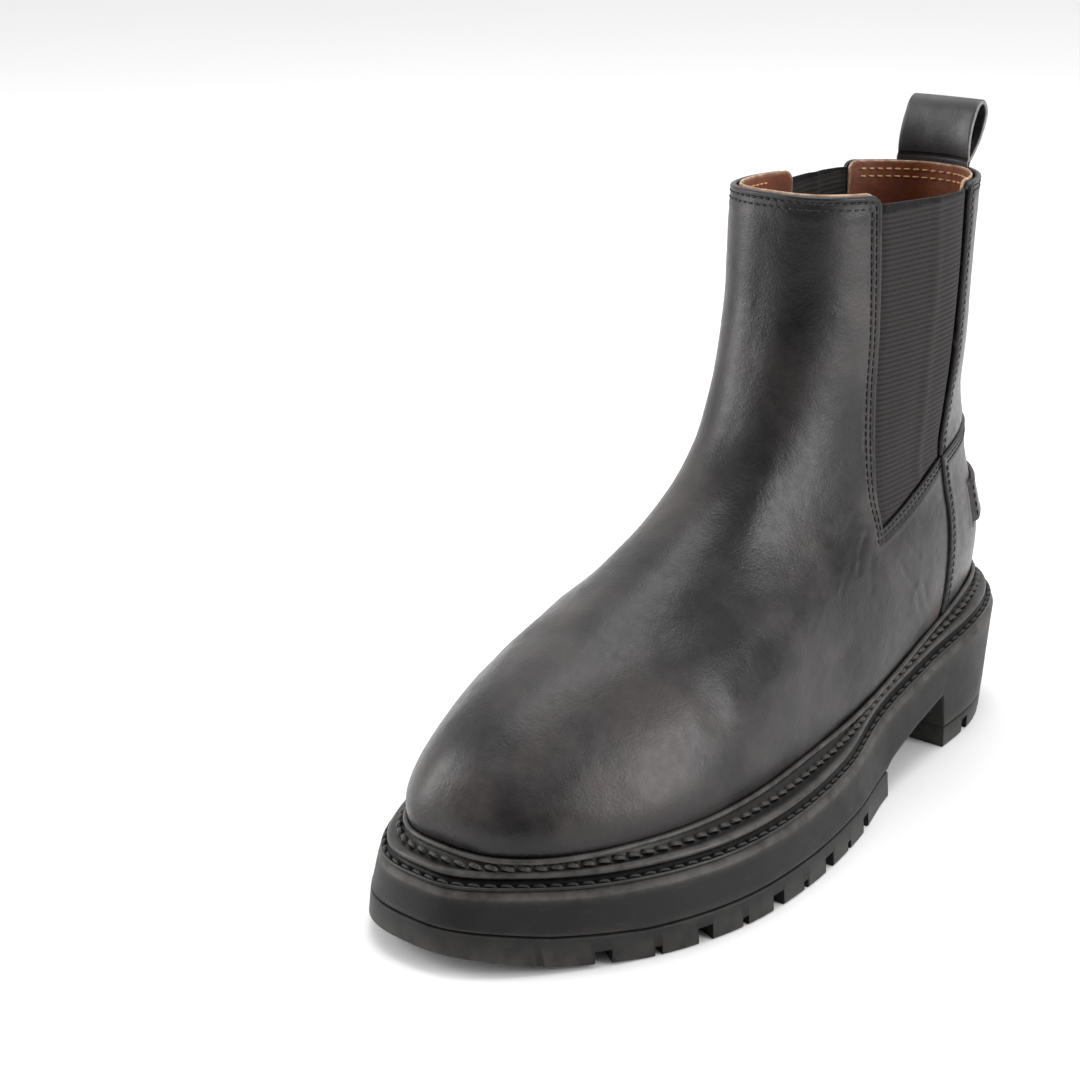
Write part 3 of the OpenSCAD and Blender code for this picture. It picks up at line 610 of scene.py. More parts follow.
def sheet(name, us, ws, keep, depth0, depth1, material, corners=(), roll=0.8, surface=None,
          inner_surface=None, raw=0.0, top_extra=0.0, rows=None):
    """Closed sheet between two depths over a grid of panel coordinates. Its edges are rolled."""
    u, w = np.meshgrid(us, ws, indexing="ij")
    um, wm = (us[1:] + us[:-1]) / 2, (ws[1:] + ws[:-1]) / 2
    has = np.zeros((len(us) + 1, len(ws) + 1), bool)
    has[1:-1, 1:-1] = keep(*np.meshgrid(um, wm, indexing="ij"))
    for u_edge, side, radius in corners:
        u, w = rounded_corner(u, w, u_edge, side, radius)
    base, out = panel(u, w, 0.0, with_normal=True)
    base = base + np.where(w > 1.9, top_extra * (w - 1.9) / 0.1, 0)[..., None] * UP
    around = has[:-1, :-1].astype(int) + has[1:, :-1] + has[:-1, 1:] + has[1:, 1:]
    edge = (around > 0) & (around < 4)
    used = around > 0
    gap = np.full(u.shape, 99.0)
    gap[used] = nearest(base[used], base[edge])
    inside = np.clip(roll - gap, 0, roll)
    curl = roll - np.sqrt(np.maximum(roll ** 2 - inside ** 2, 0))
    lift0 = surface(u, w, base, gap) if surface else 0.0
    lift1 = inner_surface(u, w, base, gap) if inner_surface else 0.0
    near = np.full(u.shape, 99.0)
    if rows:
        near[used] = nearest(base[used], row_points[rows])
        lift0 = lift0 + dents(near)
    p0 = base - (depth0 + curl - lift0)[..., None] * out
    p1 = base - (depth1 - 0.3 * curl - lift1)[..., None] * out
    n = u.size
    ids = np.arange(n).reshape(u.shape)
    cell = has[1:-1, 1:-1]
    i, j = np.nonzero(cell)
    a, b, c, d = ids[i, j], ids[i, j + 1], ids[i + 1, j + 1], ids[i + 1, j]
    quads = [np.stack([a, d, c, b], 1), np.stack([a, b, c, d], 1) + n]
    for di, dj, e0, e1 in ((-1, 0, a, b), (1, 0, c, d), (0, -1, d, a), (0, 1, b, c)):
        open_side = ~has[i + 1 + di, j + 1 + dj]
        e0, e1 = e0[open_side], e1[open_side]
        quads.append(np.stack([e0, e1, e1 + n, e0 + n], 1))
    pts = np.concatenate([p0.reshape(-1, 3), p1.reshape(-1, 3)])
    worn = np.exp(-gap.ravel() / 1.1)
    seam = bell(near.ravel() / 0.75)
    # the leather is darker at the foot of the upper, most of all towards the toe
    above = base[..., 2] - top_z(base[..., 0]) - MIDSOLE_T
    dark_foot_and_shade = bell(above / 17) * (0.3 + 0.7 * clamp((base[..., 0] - 130) / 80))
    # painted shade: a dark band up the shin's front, for the shaft's dark reflection
    shin_shade = np.exp(-(((u - SHADE_BAND_U) / SHADE_BAND_WIDE) ** 4)) * clamp((w - SHADE_BAND_FROM) / SHADE_BAND_FADE)
    dark_foot_and_shade = np.maximum(dark_foot_and_shade, 0.8 * shin_shade)
    marks = {"worn": np.concatenate([worn, worn]), "seam": np.concatenate([seam, 0 * seam]),
             "dark_foot_and_shade": np.concatenate([dark_foot_and_shade.ravel(), dark_foot_and_shade.ravel()])}
    if raw:
        fray = bell(gap.ravel() / raw)
        marks["raw"] = np.concatenate([fray, fray])
    return build(name, pts, np.concatenate(quads), (), MAT[material], marks)


# rows of stitches are found first, so that the leather can dip under them

def smooth_path(u, w, step=0.7):
    """Even points along a path in panel coordinates, with surface normals."""
    pts, out = panel(u, w, 0.0, with_normal=True)
    s = walked(pts)
    even = np.linspace(0, s[-1], max(int(s[-1] / step), 4))
    return along(pts, s, even), unit(along(out, s, even))


def inset_path(u0, u1, w_low, radius, e_low, e):
    """Row inside a vamp or back panel edge: up one side, round the corner, across the top and down
    the other side. It lies e_low from the edge at its lower ends and e from it further up."""
    w = np.linspace(w_low, 1.9, 80)
    grow = e_low + (e - e_low) * clamp((w - w_low) / 0.35)
    arc = np.linspace(0, np.pi / 2, 14)
    parts = [[u0 + grow / spans(np.full(80, u0 + 0.02), w)[0], w]]
    for u_edge, sign in ((u0, 1), (u1, -1)):
        su, sw = spans_below_top(u_edge + sign * 0.03)
        uu = u_edge + sign * (radius - (radius - e) * np.cos(arc)) / su
        ww = 2 - (radius - (radius - e) * np.sin(arc)) / sw
        parts.append([uu, ww] if sign == 1 else [uu[::-1], ww[::-1]])
    mid = np.linspace(parts[1][0][-1], parts[2][0][0], 60)[1:-1]
    parts.insert(2, [mid, 2 - e / spans_below_top(mid)[1]])
    parts.append([(u1 - grow / spans(np.full(80, u1 - 0.02), w)[0])[::-1], w[::-1]])
    return np.concatenate([p[0] for p in parts]), np.concatenate([p[1] for p in parts])


VAMP_CORNER, BACK_CORNER = 5.0, 4.0
vamp_rows, heel_rows, back_rows = [], [], []
for e_low, e in ((1.6, 2.3), (3.4, 4.5)):
    u, w = inset_path(2.0, 4.0, 1.0, VAMP_CORNER, e_low, e)
    for seam, tip, flip in ((1.02, u[0], 1), (4.98, u[-1], -1)):
        us = np.linspace(seam, tip, 50)[::flip]
        low = us, 1 - e_low / spans(us, np.full(50, 0.98))[1]
        u, w = ((np.concatenate([low[0], u]), np.concatenate([low[1], w])) if flip == 1
                else (np.concatenate([u, low[0]]), np.concatenate([w, low[1]])))
    vamp_rows.append((u, w))
for e in (1.9, 3.7):
    u = np.linspace(-0.955, 0.955, 90)
    heel_rows.append((u, 1 - (e + 0.3) / spans(u, np.full(90, 0.96))[1]))
    for sign in (-1, 1):
        w = np.linspace(0.02, 0.93, 60)
        heel_rows.append((sign * (0.998 - e / spans(np.full(60, sign * 0.96), w)[0]), w))
for e in (1.8, 3.6):
    back_rows.append(inset_path(-0.995, 0.995, 1.01, BACK_CORNER, e, e))
row_points = {key: np.concatenate([smooth_path(u, w)[0] for u, w in rows])
              for key, rows in (("vamp", vamp_rows), ("heel", heel_rows), ("back", back_rows))}


def dents(near):
    """Dip of the leather under its rows of stitches, and the soft ridges beside them."""
    return -0.4 * bell(near / 0.7) + 0.16 * bell((near - 1.5) / 0.5)


# sheet() calls these with panel coordinates, the smooth points and the distance to the sheet's edge

def vamp_surface(u, w, base, gap):
    """The leather dips towards its side seams."""
    side = bell(np.minimum(u - 1, 5 - u) * 50 / 3) * (w < 1)
    return relief(base) - 0.35 * side


def heel_surface(u, w, base, gap):
    """The panel's edge lifts, and the strap goes in through a slit with a raised lip."""
    lift = 0.7 * bell(gap / 5.5)
    past, level = (np.abs(u) - STRAP_HALF) * U_SPAN, np.abs(w - STRAP_MID)
    slit = bell(past / 0.8) * clamp((0.13 - level) / 0.015)
    lip = bell((past - 2.0) / 0.9) * clamp((0.14 - level) / 0.03)
    return relief(base) + lift * (w > 0.05) - 1.5 * slit + 0.5 * lip


def back_surface(u, w, base, gap):
    """The leather dips towards the long seam and lifts a little at its edges."""
    low = bell((w - 1) * 95 / 3.0)
    return relief(base) - 0.4 * low + 0.2 * bell(gap / 4)


def whole(u, w):
    """Keeps every cell of a sheet."""
    return w >= 0


def in_front(u, w):
    """Keeps the cells below the long seam and those between the gores."""
    return (w < 1) | ((u > 2) & (u < 4))


# small gap left at a seam, in units of u or w
GAP = 0.0012
# the heel strap: half its length in u, its edges and middle in w
STRAP_HALF, STRAP_LOW, STRAP_HIGH, STRAP_MID = 0.66, 0.43, 0.66, 0.545
# about how many millimetres one unit of u spans at the heel and on a gore
U_SPAN = 48
VAMP_CORNERS = (2.0, 1, VAMP_CORNER), (4.0, -1, VAMP_CORNER)
BACK_CORNERS = (-1 + GAP, 1, BACK_CORNER), (1 - GAP, -1, BACK_CORNER)
us = np.concatenate([dense(1 + GAP, 2, 44, (0.004, 0.01, 0.02, 0.035), (0.005, 0.012, 0.025)),
                     dense(2, 4, 330, (0.0025, 0.007, 0.014, 0.024), (0.0025, 0.007, 0.014, 0.024))[1:],
                     dense(4, 5 - GAP, 44, (0.005, 0.012, 0.025), (0.004, 0.01, 0.02, 0.035))[1:]])
ws = np.concatenate([dense(0, 1, 60, (), (0.004, 0.01, 0.02)),
                     dense(1, 2, 96, (), (0.002, 0.005, 0.009, 0.014))[1:]])
place(sheet("upper_vamp", us, ws, in_front, 0.0, LEATHER_T, "upper",
            corners=VAMP_CORNERS, surface=vamp_surface, rows="vamp"),
      BOOT, "black_leather", "vamp")

us = dense(-1 + GAP, 1 - GAP, 100, (0.004, 0.01, 0.02, 0.03), (0.004, 0.01, 0.02, 0.03))
ws = dense(0, 1 - GAP, 64, (), (0.004, 0.01, 0.018, 0.03))
place(sheet("upper_heel_panel", us, ws, whole, 0.0, LEATHER_T, "heel",
            surface=heel_surface, rows="heel"), BOOT, "black_leather", "heel_panel")

ws = dense(1 + GAP / 2, 2, 84, (0.003, 0.008, 0.015), (0.002, 0.005, 0.009, 0.014))
place(sheet("upper_back_panel", us, ws, whole, 0.0, LEATHER_T, "upper",
            corners=BACK_CORNERS, surface=back_surface, rows="back"),
      "bend", "black_leather", "back_panel")


# ---------------------------------------------------------------- gores

# height of one rib
RIB = 1.8


def gore(name, u0, u1, node, wave):
    """Ribbed elastic, tucked under the leather all round and bound along its top edge."""
    tuck = 0.1
    us = np.linspace(u0 - tuck, u1 + tuck, 44)
    ws = dense(0.955, 1.982, 420, (), (0.0006, 0.0014, 0.003))
    lo, hi = (1, 2) if u0 < 3 else (4, 5)

    def drop(u, w):
        """Depth of the elastic: 1 mm inside its opening, more where it runs under the leather."""
        side = np.minimum(u - lo, hi - u) * U_SPAN
        rise = np.minimum(side, (w - 1) * 100)
        return 1.0 + 1.12 / (1 + np.exp(np.clip((rise - 1.4) / 0.8, -30, 30)))

    def ribs(u, w, base, gap):
        """Ribs and top binding, with one long crease and a slow sway towards the top."""
        band = clamp((w - 1.95) / 0.006)
        z = base[..., 2] + 0.25 * ripple(base, 30, 2.2, 1)
        crest = np.abs(np.sin(np.pi * z / RIB)) ** 0.8
        crease = bell((u - lo - wave[0]) / 0.055) * wave[1]
        sway = wave[2] * np.sin((u - lo) * 2 * np.pi) * clamp((w - 1.55) / 0.4)
        show = clamp(2.1 - drop(u, w))
        return (0.24 * crest * (1 - band) + 0.3 * band) * show + crease * show + sway * show

    u, w = np.meshgrid(us, ws, indexing="ij")
    obj = sheet(name, us, ws, whole, drop(u, w), drop(u, w) + 0.95, "elastic",
                roll=0.4, surface=ribs,
                inner_surface=lambda u, w, base, gap: ribs(u, w, base, gap) - 0.2)
    z = np.array([v.co.z for v in obj.data.vertices]) / MM
    crest = np.abs(np.sin(np.pi * z / RIB)) ** 0.8 * (z < z.max() - 3.2)
    crests = obj.data.attributes.new("crest", "FLOAT", "POINT")
    crests.data.foreach_set("value", crest.astype(np.float32))
    place(obj, "bend", "elastic", node)


gore("gore_outer_side", 1.0, 2.0, "gore_lateral", (0.42, 0.5, 0.35))
gore("gore_inner_side", 4.0, 5.0, "gore_medial", (0.5, -0.9, 0.9))


# ---------------------------------------------------------------- linings and backings

def lining_surface(u, w, base, gap):
    """Soft unevenness of the lining."""
    return -0.25 * ripple(base, 16, 9.0, 3) - 0.12 * ripple(base, 5, 4.0, 2)


def lining(name, us, ws, how, node, keep=whole, **edges):
    """Tan leather inside the backing, uneven on its inner side."""
    place(sheet(name, us, ws, keep, D_LINE0, D_LINE1, "tan", roll=0.3,
                inner_surface=lining_surface, **edges), how, "tan_lining", node)


us = np.concatenate([dense(1 + GAP, 2, 16), dense(2, 4, 130, (0.004, 0.012), (0.004, 0.012))[1:],
                     dense(4, 5 - GAP, 16)[1:]])
ws = np.concatenate([dense(0, 1, 24), dense(1, 2, 50, (), (0.003, 0.008, 0.015))[1:]])
lining("lining_front", us, ws, BOOT, "vamp_lining", in_front, raw=0.7, top_extra=0.4,
       corners=VAMP_CORNERS)
in_cloth = lambda u, w: (w < 0.93) | ((u > 2.12) & (u < 3.88) & (w < 1.99))
place(sheet("backing_front", us[::2], ws[::2], in_cloth, D_BACK0, D_BACK1, "backing", roll=0.1),
      BOOT, "cloth_backing", "vamp_backing")
us = dense(-1 + GAP, 1 - GAP, 60, (0.004, 0.012), (0.004, 0.012))
lining("lining_heel", us, dense(0, 0.96, 30), BOOT, "heel_lining")
ws = dense(0.965, 2, 60, (), (0.003, 0.008, 0.015))
lining("lining_back", us, ws, "bend", "back_lining", raw=0.55, top_extra=0.2, corners=BACK_CORNERS)
place(sheet("backing_back", us[6:-6:2], dense(1.02, 1.9, 24), whole, D_BACK0, D_BACK1, "backing",
            roll=0.1), "bend", "cloth_backing", "back_backing")


# ---------------------------------------------------------------- heel strap and back strip

def strap_end(u):
    """0 along the strap, rising to 1 where it dips into its slits."""
    return clamp((np.abs(u) - (STRAP_HALF - 0.07)) / 0.07)


def strap_surface(u, w, base, gap):
    """The strap's outer side, raised a little beside its edges."""
    return 0.8 * relief(base) - 3.2 * strap_end(u) ** 2 + 0.25 * bell((gap - 1.8) / 0.8)


def strap_back(u, w, base, gap):
    """The strap's inner side, which follows the heel panel."""
    return 0.8 * relief(base) - 2.2 * strap_end(u) ** 2


us = dense(-STRAP_HALF, STRAP_HALF, 70, (0.004, 0.01, 0.02), (0.004, 0.01, 0.02))
ws = dense(STRAP_LOW, STRAP_HIGH, 18, (0.004, 0.01), (0.004, 0.01))
place(sheet("heel_strap_loop", us, ws, whole, -1.9, -0.1, "strap", roll=0.7,
            surface=strap_surface, inner_surface=strap_back), BOOT, "strap_leather", "heel_strap")


def stay_surface(u, w, base, gap):
    """Slanting ribs that meet along the middle of the strip, with its top end pressed down."""
    twill = np.abs(np.sin(np.pi * (base[..., 2] + 1.2 * np.abs(base[..., 1] + 2.6)) / 2.2))
    return relief(base) + 0.45 * twill - 0.8 * bell((w - 1.9) / 0.03)


place(sheet("back_strip", dense(-0.058, 0.058, 12, (0.002, 0.006), (0.002, 0.006)),
            dense(1.006, 1.9, 230, (0.002,), (0.002,)), whole, -1.5, -0.05, "strap",
            roll=0.7, surface=stay_surface, inner_surface=lambda u, w, base, gap: relief(base)),
      "bend", "strap_leather", "back_stay")


# ---------------------------------------------------------------- stitches

def stitches(pts, out, pitch, length, wide, tall, sink, slant=0.0, stations=7, sides=8):
    """Rounded stitches along even points; each dives into the leather at both ends."""
    s = walked(pts)
    count = max(int(s[-1] / pitch), 1)
    mid = (np.arange(count) + 0.5) * s[-1] / count
    t = np.linspace(-1, 1, stations)
    at = mid[:, None] + t * length / 2
    center, normal = along(pts, s, at), unit(along(out, s, at))
    way = unit(along(unit(np.gradient(pts, axis=0)), s, at))
    across = unit(np.cross(way, normal))
    swell = np.sqrt(np.maximum(1 - (0.97 * t) ** 4, 0.02))
    rise = tall * (1 - t ** 4) - sink
    center = center + rise[:, None] * normal + (slant * t)[:, None] * across
    turn = np.linspace(0, 2 * np.pi, sides, endpoint=False)
    aside = (swell[:, None] * np.cos(turn) * wide / 2)[..., None]
    upward = (swell[:, None] * np.sin(turn) * tall / 2)[..., None]
    tube = center[:, :, None] + across[:, :, None] * aside + normal[:, :, None] * upward
    reach = wide * 0.1
    ends = np.stack([center[:, 0] - way[:, 0] * reach, center[:, -1] + way[:, -1] * reach], 1)
    per = stations * sides
    base = (np.arange(count) * per)[:, None]
    quads = (base[:, :, None] + tube_quads(stations, sides)[None]).reshape(-1, 4)
    jj = np.arange(sides)
    kk = (jj + 1) % sides
    caps = []
    for end, first in ((0, 0), (1, (stations - 1) * sides)):
        tip = (count * per + np.arange(count) * 2 + end)[:, None]
        tips = np.broadcast_to(tip, (count, sides))
        caps.append(np.stack([tips, base + first + jj, base + first + kk], -1))
    return (np.concatenate([tube.reshape(-1, 3), ends.reshape(-1, 3)]), quads,
            np.concatenate(caps).reshape(-1, 3))


def sewn(name, rows, lift, how, key="thread", inward=False, sizes=(2.8, 2.45, 0.72, 0.5, 0.16),
         slot="thread"):
    """One piece with all stitches of some rows given in panel coordinates. sizes holds their pitch,
    length, width, height and how deep they sink."""
    parts = []
    for u, w in rows:
        pts, out = smooth_path(u, w)
        if inward:
            pts = pts - (D_LINE1 + 0.1) * out
            out = -out
        else:
            pts = pts + lift(pts)[:, None] * out
        parts.append(stitches(pts, out, *sizes))
    return place(build(name, *join(parts), material=MAT[key]), how, slot)


sewn("stitching_vamp", vamp_rows, lambda p: relief(p) - 0.42, BOOT)
sewn("stitching_heel_panel", heel_rows, lambda p: relief(p) + 0.16, BOOT)
sewn("stitching_back_panel", back_rows, lambda p: relief(p) - 0.3, "bend")
u = np.linspace(-0.9, 0.9, 60)
inner_rows = [(u, 2 - e / spans_below_top(u)[1]) for e in (3.0, 5.8)]
sewn("stitching_back_lining", inner_rows, None, "bend", "tan_thread", True, (3.3, 2.5, 0.7, 0.5, 0.14))
u = np.linspace(2.2, 3.8, 90)
inner_rows = [(u, 2 - e / spans_below_top(u)[1]) for e in (3.0, 5.2)]
sewn("stitching_front_lining", inner_rows, None, BOOT, "tan_thread", True, (3.0, 2.2, 0.65, 0.5, 0.14))
bars = []
for sign in (-1, 1):
    w = np.linspace(0.45, 0.64, 20)
    bars.append((np.full(20, sign * (STRAP_HALF - 0.045)), w))
sewn("stitching_heel_strap", bars, lambda p: relief(p) + 1.3, BOOT)


# ---------------------------------------------------------------- sole

def sole_flat(p):
    p = np.radians(np.asarray(p, float))
    t = (1 - np.cos(p)) / 2
    wide = np.where(np.sin(p) >= 0, curve(SOLE_OUT, t * 8), curve(SOLE_IN, t * 8))
    return np.stack([SOLE_X0 + t * (SOLE_X1 - SOLE_X0),
                     curve(SOLE_MID, t * 8) + np.sign(np.sin(p)) * wide * round_end(p, SOLE_N)], -1)


def sole_edge(p, d):
    """Sole outline moved inwards by d."""
    g = unit(sole_flat(p + 1.0) - sole_flat(p - 1.0))
    return sole_flat(p) + np.asarray(d)[..., None] * np.stack([g[..., 1], -g[..., 0]], -1)


def even_angles(low, high, step):
    """Angles from low to high whose outline points lie about step mm apart."""
    fine = np.linspace(low, high, 4000)
    walk = np.linalg.norm(np.diff(sole_flat(fine), axis=0), axis=1)
    walk = (walk + np.linalg.norm(np.diff(sole_flat(360 - fine), axis=0), axis=1)) / 2
    s = np.concatenate([[0], np.cumsum(walk)])
    return np.interp(np.linspace(0, s[-1], int(s[-1] / step) + 1), s, fine)


def sole_at(x):
    return math.degrees(math.acos(1 - 2 * (x - SOLE_X0) / (SOLE_X1 - SOLE_X0)))


STEP = 1.6
BREAST = [sole_at(BREAST_X - 0.6), sole_at(BREAST_X + 0.6)]
half = np.concatenate([even_angles(0, BREAST[0], STEP), even_angles(BREAST[1], 180, STEP)])
AROUND = np.concatenate([half, 360 - half[-2:0:-1]])


def ring(ps, d, tab, dz, flare=0.0):
    x = sole_flat(ps)[..., 0]
    q = sole_edge(ps, d - flare * table(FLARE, x, 6.0))
    z = top_z(q[..., 0]) if tab is RUBBER_TOP else table(tab, x, 0.0)
    return np.concatenate([q, (z + dz)[..., None]], -1)


def loft(rings, start_pair=False, band=False):
    """Closed solid through rings, lowest first; a band joins its last ring to its first."""
    n, m = len(rings[0]), len(rings)
    pts = np.concatenate(rings)
    i = np.arange(n)
    j = (i + 1) % n
    quads = []
    for k in range(m if band else m - 1):
        l = (k + 1) % m
        quads.append(np.stack([k * n + i, k * n + j, l * n + j, l * n + i], 1))
    tris = []
    if not band:
        s = 1 if start_pair else 0
        for first, flip in ((0, True), ((m - 1) * n, False)):
            for a in range((n - s) // 2):
                b, c, d = a + 1, (n - a - 1 - s) % n, (n - a - s) % n
                face = [a, b, c] if a == d else [a, b, d] if b == c else [a, b, c, d]
                face = [first + f for f in (face[::-1] if flip else face)]
                (quads if len(face) == 4 else tris).append(np.array([face]))
    return pts, np.concatenate(quads), (np.concatenate(tris) if tris else ())


def mark_rings(rings, values):
    return np.concatenate([np.full(len(r), v, float) for r, v in zip(rings, values)])


def sole_piece(name, rings, worn, look, node, band=False):
    """Loft through rings, each with its share of wear, that takes a CAD node's place."""
    obj = build(name, *loft(rings, band=band), material=MAT[look], marks={"worn": mark_rings(rings, worn)})
    place(obj, BOOT, look, node)


def rubber_side(share_up):
    """Ring of the rubber unit's sidewall, share_up from its foot to its top."""
    x = sole_flat(AROUND)[:, 0]
    low, top = table(RUBBER_LOW, x, 0.0), top_z(x) - 2.3
    q = sole_edge(AROUND, -0.7 * (1 - share_up) * table(FLARE, x, 6.0))
    return np.concatenate([q, (low + share_up * (top - low))[:, None]], 1)


foot = rubber_side(0.0)
x = sole_flat(AROUND)[:, 0]
inner_foot = foot.copy()
inner_foot[:, :2] = sole_edge(AROUND, 0.7 - 0.7 * table(FLARE, x, 6.0))
lip_foot = foot + [0, 0, 0.7]
rings = [inner_foot, lip_foot] + [rubber_side(s) for s in (0.12, 0.25, 0.38, 0.5, 0.65, 0.8, 0.92)]
rings += [ring(AROUND, d, RUBBER_TOP, dz)
          for d, dz in ((0.0, -2.5), (0.12, -2.15), (1.55, -0.25), (1.95, 0.0), (5.0, 0.02))]
sole_piece("rubber_unit_moulded", rings, [0.3, 0.35, 0.1, 0, 0, 0, 0, 0, 0.15, 0.45, 0.9, 0.9, 0.5, 0],
           "rubber", "rubber_unit")

# millimetres inside the sole's outline: the welt's lip, the midsole's rim and its row of stitches
LIP, RIM, RIM_SEAM = 3.3, 0.9, 2.15
# height of the rim, depth of the welt's stitch channel, and where that starts and ends up the slope
RIM_H, CHANNEL, CHAN_A, CHAN_B = 1.3, 0.5, 0.26, 0.82
rings = [ring(AROUND, d, RUBBER_TOP, dz) for d, dz in (
    (2.0, 0.05), (RIM + 0.15, 0.3), (RIM, 0.8), (RIM + 0.25, RIM_H), (RIM + 0.6, RIM_H + 0.12),
    (RIM_SEAM - 0.55, RIM_H - 0.1), (RIM_SEAM + 0.55, RIM_H - 0.1), (LIP + 1.0, RIM_H + 0.2),
    (LIP + 1.4, MIDSOLE_T))]
sole_piece("midsole_rim", rings, [0, 0, 0.2, 0.6, 0.4, 0, 0, 0, 0], "welt", "midsole")


def beside(ps, h, d):
    """Point d outside the upper at height h above its foot."""
    rise = (skin(np.full(len(ps), 0.03), ps)[:, 2] - skin(np.zeros(len(ps)), ps)[:, 2]) / 0.03
    v = h / rise
    return skin(v, ps) + d * skin_out(v, ps)


def slope(ps, f, height):
    """Point above the welt's slope: f = 0 at its lip, 1 at the upper. Returns points and normals."""
    a, ahead = sole_edge(ps, LIP), sole_edge(ps + 1.0, LIP)
    low = np.concatenate([a, (top_z(a[:, 0]) + MIDSOLE_T + WELT_T)[:, None]], 1)
    high = beside(ps, WELT_T + CLIMB, 0.25)
    way = np.concatenate([ahead - a, np.zeros((len(a), 1))], 1)
    out = unit(np.cross(high - low, way))
    return low + f * (high - low) + np.asarray(height) * out, out


def welt_bottom(ps, d):
    q = sole_edge(ps, d)
    return np.concatenate([q, (top_z(q[:, 0]) + MIDSOLE_T + 0.2)[:, None]], 1)


inner = beside(AROUND, 0.0, 0.25)
inner[:, 2] = top_z(inner[:, 0]) + MIDSOLE_T + 0.25
rings = [inner, welt_bottom(AROUND, LIP + 0.5), welt_bottom(AROUND, LIP + 0.05) + [0, 0, 0.25],
         ring(AROUND, LIP - 0.25, RUBBER_TOP, MIDSOLE_T + 0.9),
         ring(AROUND, LIP - 0.2, RUBBER_TOP, MIDSOLE_T + WELT_T - 0.35),
         *(slope(AROUND, f, height)[0] for f, height in (
             (0.04, 0.12), (0.12, 0.1), (CHAN_A - 0.04, 0.02), (CHAN_A + 0.04, -CHANNEL * 0.8),
             (0.54, -CHANNEL), (CHAN_B - 0.04, -CHANNEL * 0.8), (CHAN_B + 0.04, 0.02), (0.97, 0.0)))]
sole_piece("welt_strip", rings, [0, 0, 0.2, 0.5, 0.8, 0.9, 0.5, 0.2, 0, 0, 0, 0.2, 0.1], "welt", "welt",
           band=True)

turns = np.linspace(0, 2 * np.pi, 10, endpoint=False)
center = beside(AROUND, WELT_T + CLIMB + BEAD_R * 0.9, BEAD_R * 0.85)
o = skin_out(np.full(len(AROUND), 0.05), AROUND)
flat = unit(o * [1, 1, 0])
rings = [center - BEAD_R * math.cos(a) * flat - [0, 0, BEAD_R * math.sin(a)] for a in turns]
sole_piece("welt_bead_cord", rings, [0, 0, 0.2, 0.6, 0.9, 0.9, 0.9, 0.5, 0.2, 0], "welt", "welt_bead",
           band=True)

sole_angles = np.append(AROUND, 360.0)
pts, out = slope(sole_angles, 0.54, -CHANNEL + 0.12)
welt_row = stitches(pts, out, pitch=5.0, length=4.5, wide=1.7, tall=1.0, sink=0.25, slant=0.42,
                    stations=9, sides=10)
place(build("stitching_welt", *welt_row, material=MAT["welt_thread"]), BOOT, "thread", "welt_stitches")
pts = ring(sole_angles, RIM_SEAM, RUBBER_TOP, RIM_H - 0.05)
out = np.tile([0.0, 0.0, 1.0], (len(pts), 1))
rim_row = stitches(pts, out, pitch=5.0, length=4.3, wide=1.25, tall=0.8, sink=0.2, slant=0.3,
                   stations=9, sides=10)
place(build("stitching_midsole", *rim_row, material=MAT["thread"]), BOOT, "thread", "midsole_stitches")


# ---------------------------------------------------------------- tread and heel lift

def box(lo, hi, at=(0, 0), way=(1, 0)):
    """Box between two corners, then turned so that its X runs along way, and moved to at."""
    pts = np.array([[(lo, hi)[(k >> a) & 1][a] for a in range(3)] for k in range(8)], float)
    x, y = pts[:, 0].copy(), pts[:, 1].copy()
    pts[:, 0] = at[0] + x * way[0] - y * way[1]
    pts[:, 1] = at[1] + x * way[1] + y * way[0]
    sides = [[0, 2, 3, 1], [4, 5, 7, 6], [0, 1, 5, 4], [2, 6, 7, 3], [0, 4, 6, 2], [1, 3, 7, 5]]
    return pts, sides, ()


def notch(x, end, w, h, d):
    """Box for a notch w wide, h high and d deep, cut square into the sole's rim. end is 1 on the
    outer side and -1 on the inner."""
    p = end * sole_at(x)
    a, b = sole_edge(p, 0.0), sole_edge(p, float(d))
    return box((-8, -w / 2, -1), (d, w / 2, h), a, unit(b - a))


def cut(obj, boxes):
    """Takes boxes out of an object and rounds the new edges a little."""
    cutter = build("cutter", *join(boxes), smooth=False)
    mod = obj.modifiers.new("cut", "BOOLEAN")
    mod.operation, mod.object, mod.solver = "DIFFERENCE", cutter, "EXACT"
    bevel = obj.modifiers.new("bevel", "BEVEL")
    bevel.width, bevel.segments, bevel.limit_method = 0.35 * MM, 2, "ANGLE"
    bevel.angle_limit = math.radians(50)
    bpy.context.view_layer.update()
    made = bpy.data.meshes.new_from_object(obj.evaluated_get(bpy.context.evaluated_depsgraph_get()))
    obj.modifiers.clear()
    obj.data = made
    bpy.data.objects.remove(cutter)
    return obj


# depth of the cuts between the lugs
LUG_D = 5.5
fore = even_angles(sole_at(76), 180, STEP)
FORE_RING = np.concatenate([fore, 360 - fore[-2::-1]])
rings = [ring(FORE_RING, 0.5, TREAD_LOW, 0.0, 1.0), ring(FORE_RING, 0.0, TREAD_LOW, 0.5, 1.0),
         ring(FORE_RING, 0.0, RUBBER_LOW, -1.2, 0.78), ring(FORE_RING, 0.0, RUBBER_LOW, -0.5, 0.74),
         ring(FORE_RING, 0.5, RUBBER_LOW, -0.2, 0.7)]
worn = mark_rings(rings, [0.9, 0.5, 0.1, 0.3, 0.1])
tread = build("tread_forepart", *loft(rings, start_pair=True), material=MAT["rubber"],
              marks={"worn": worn})
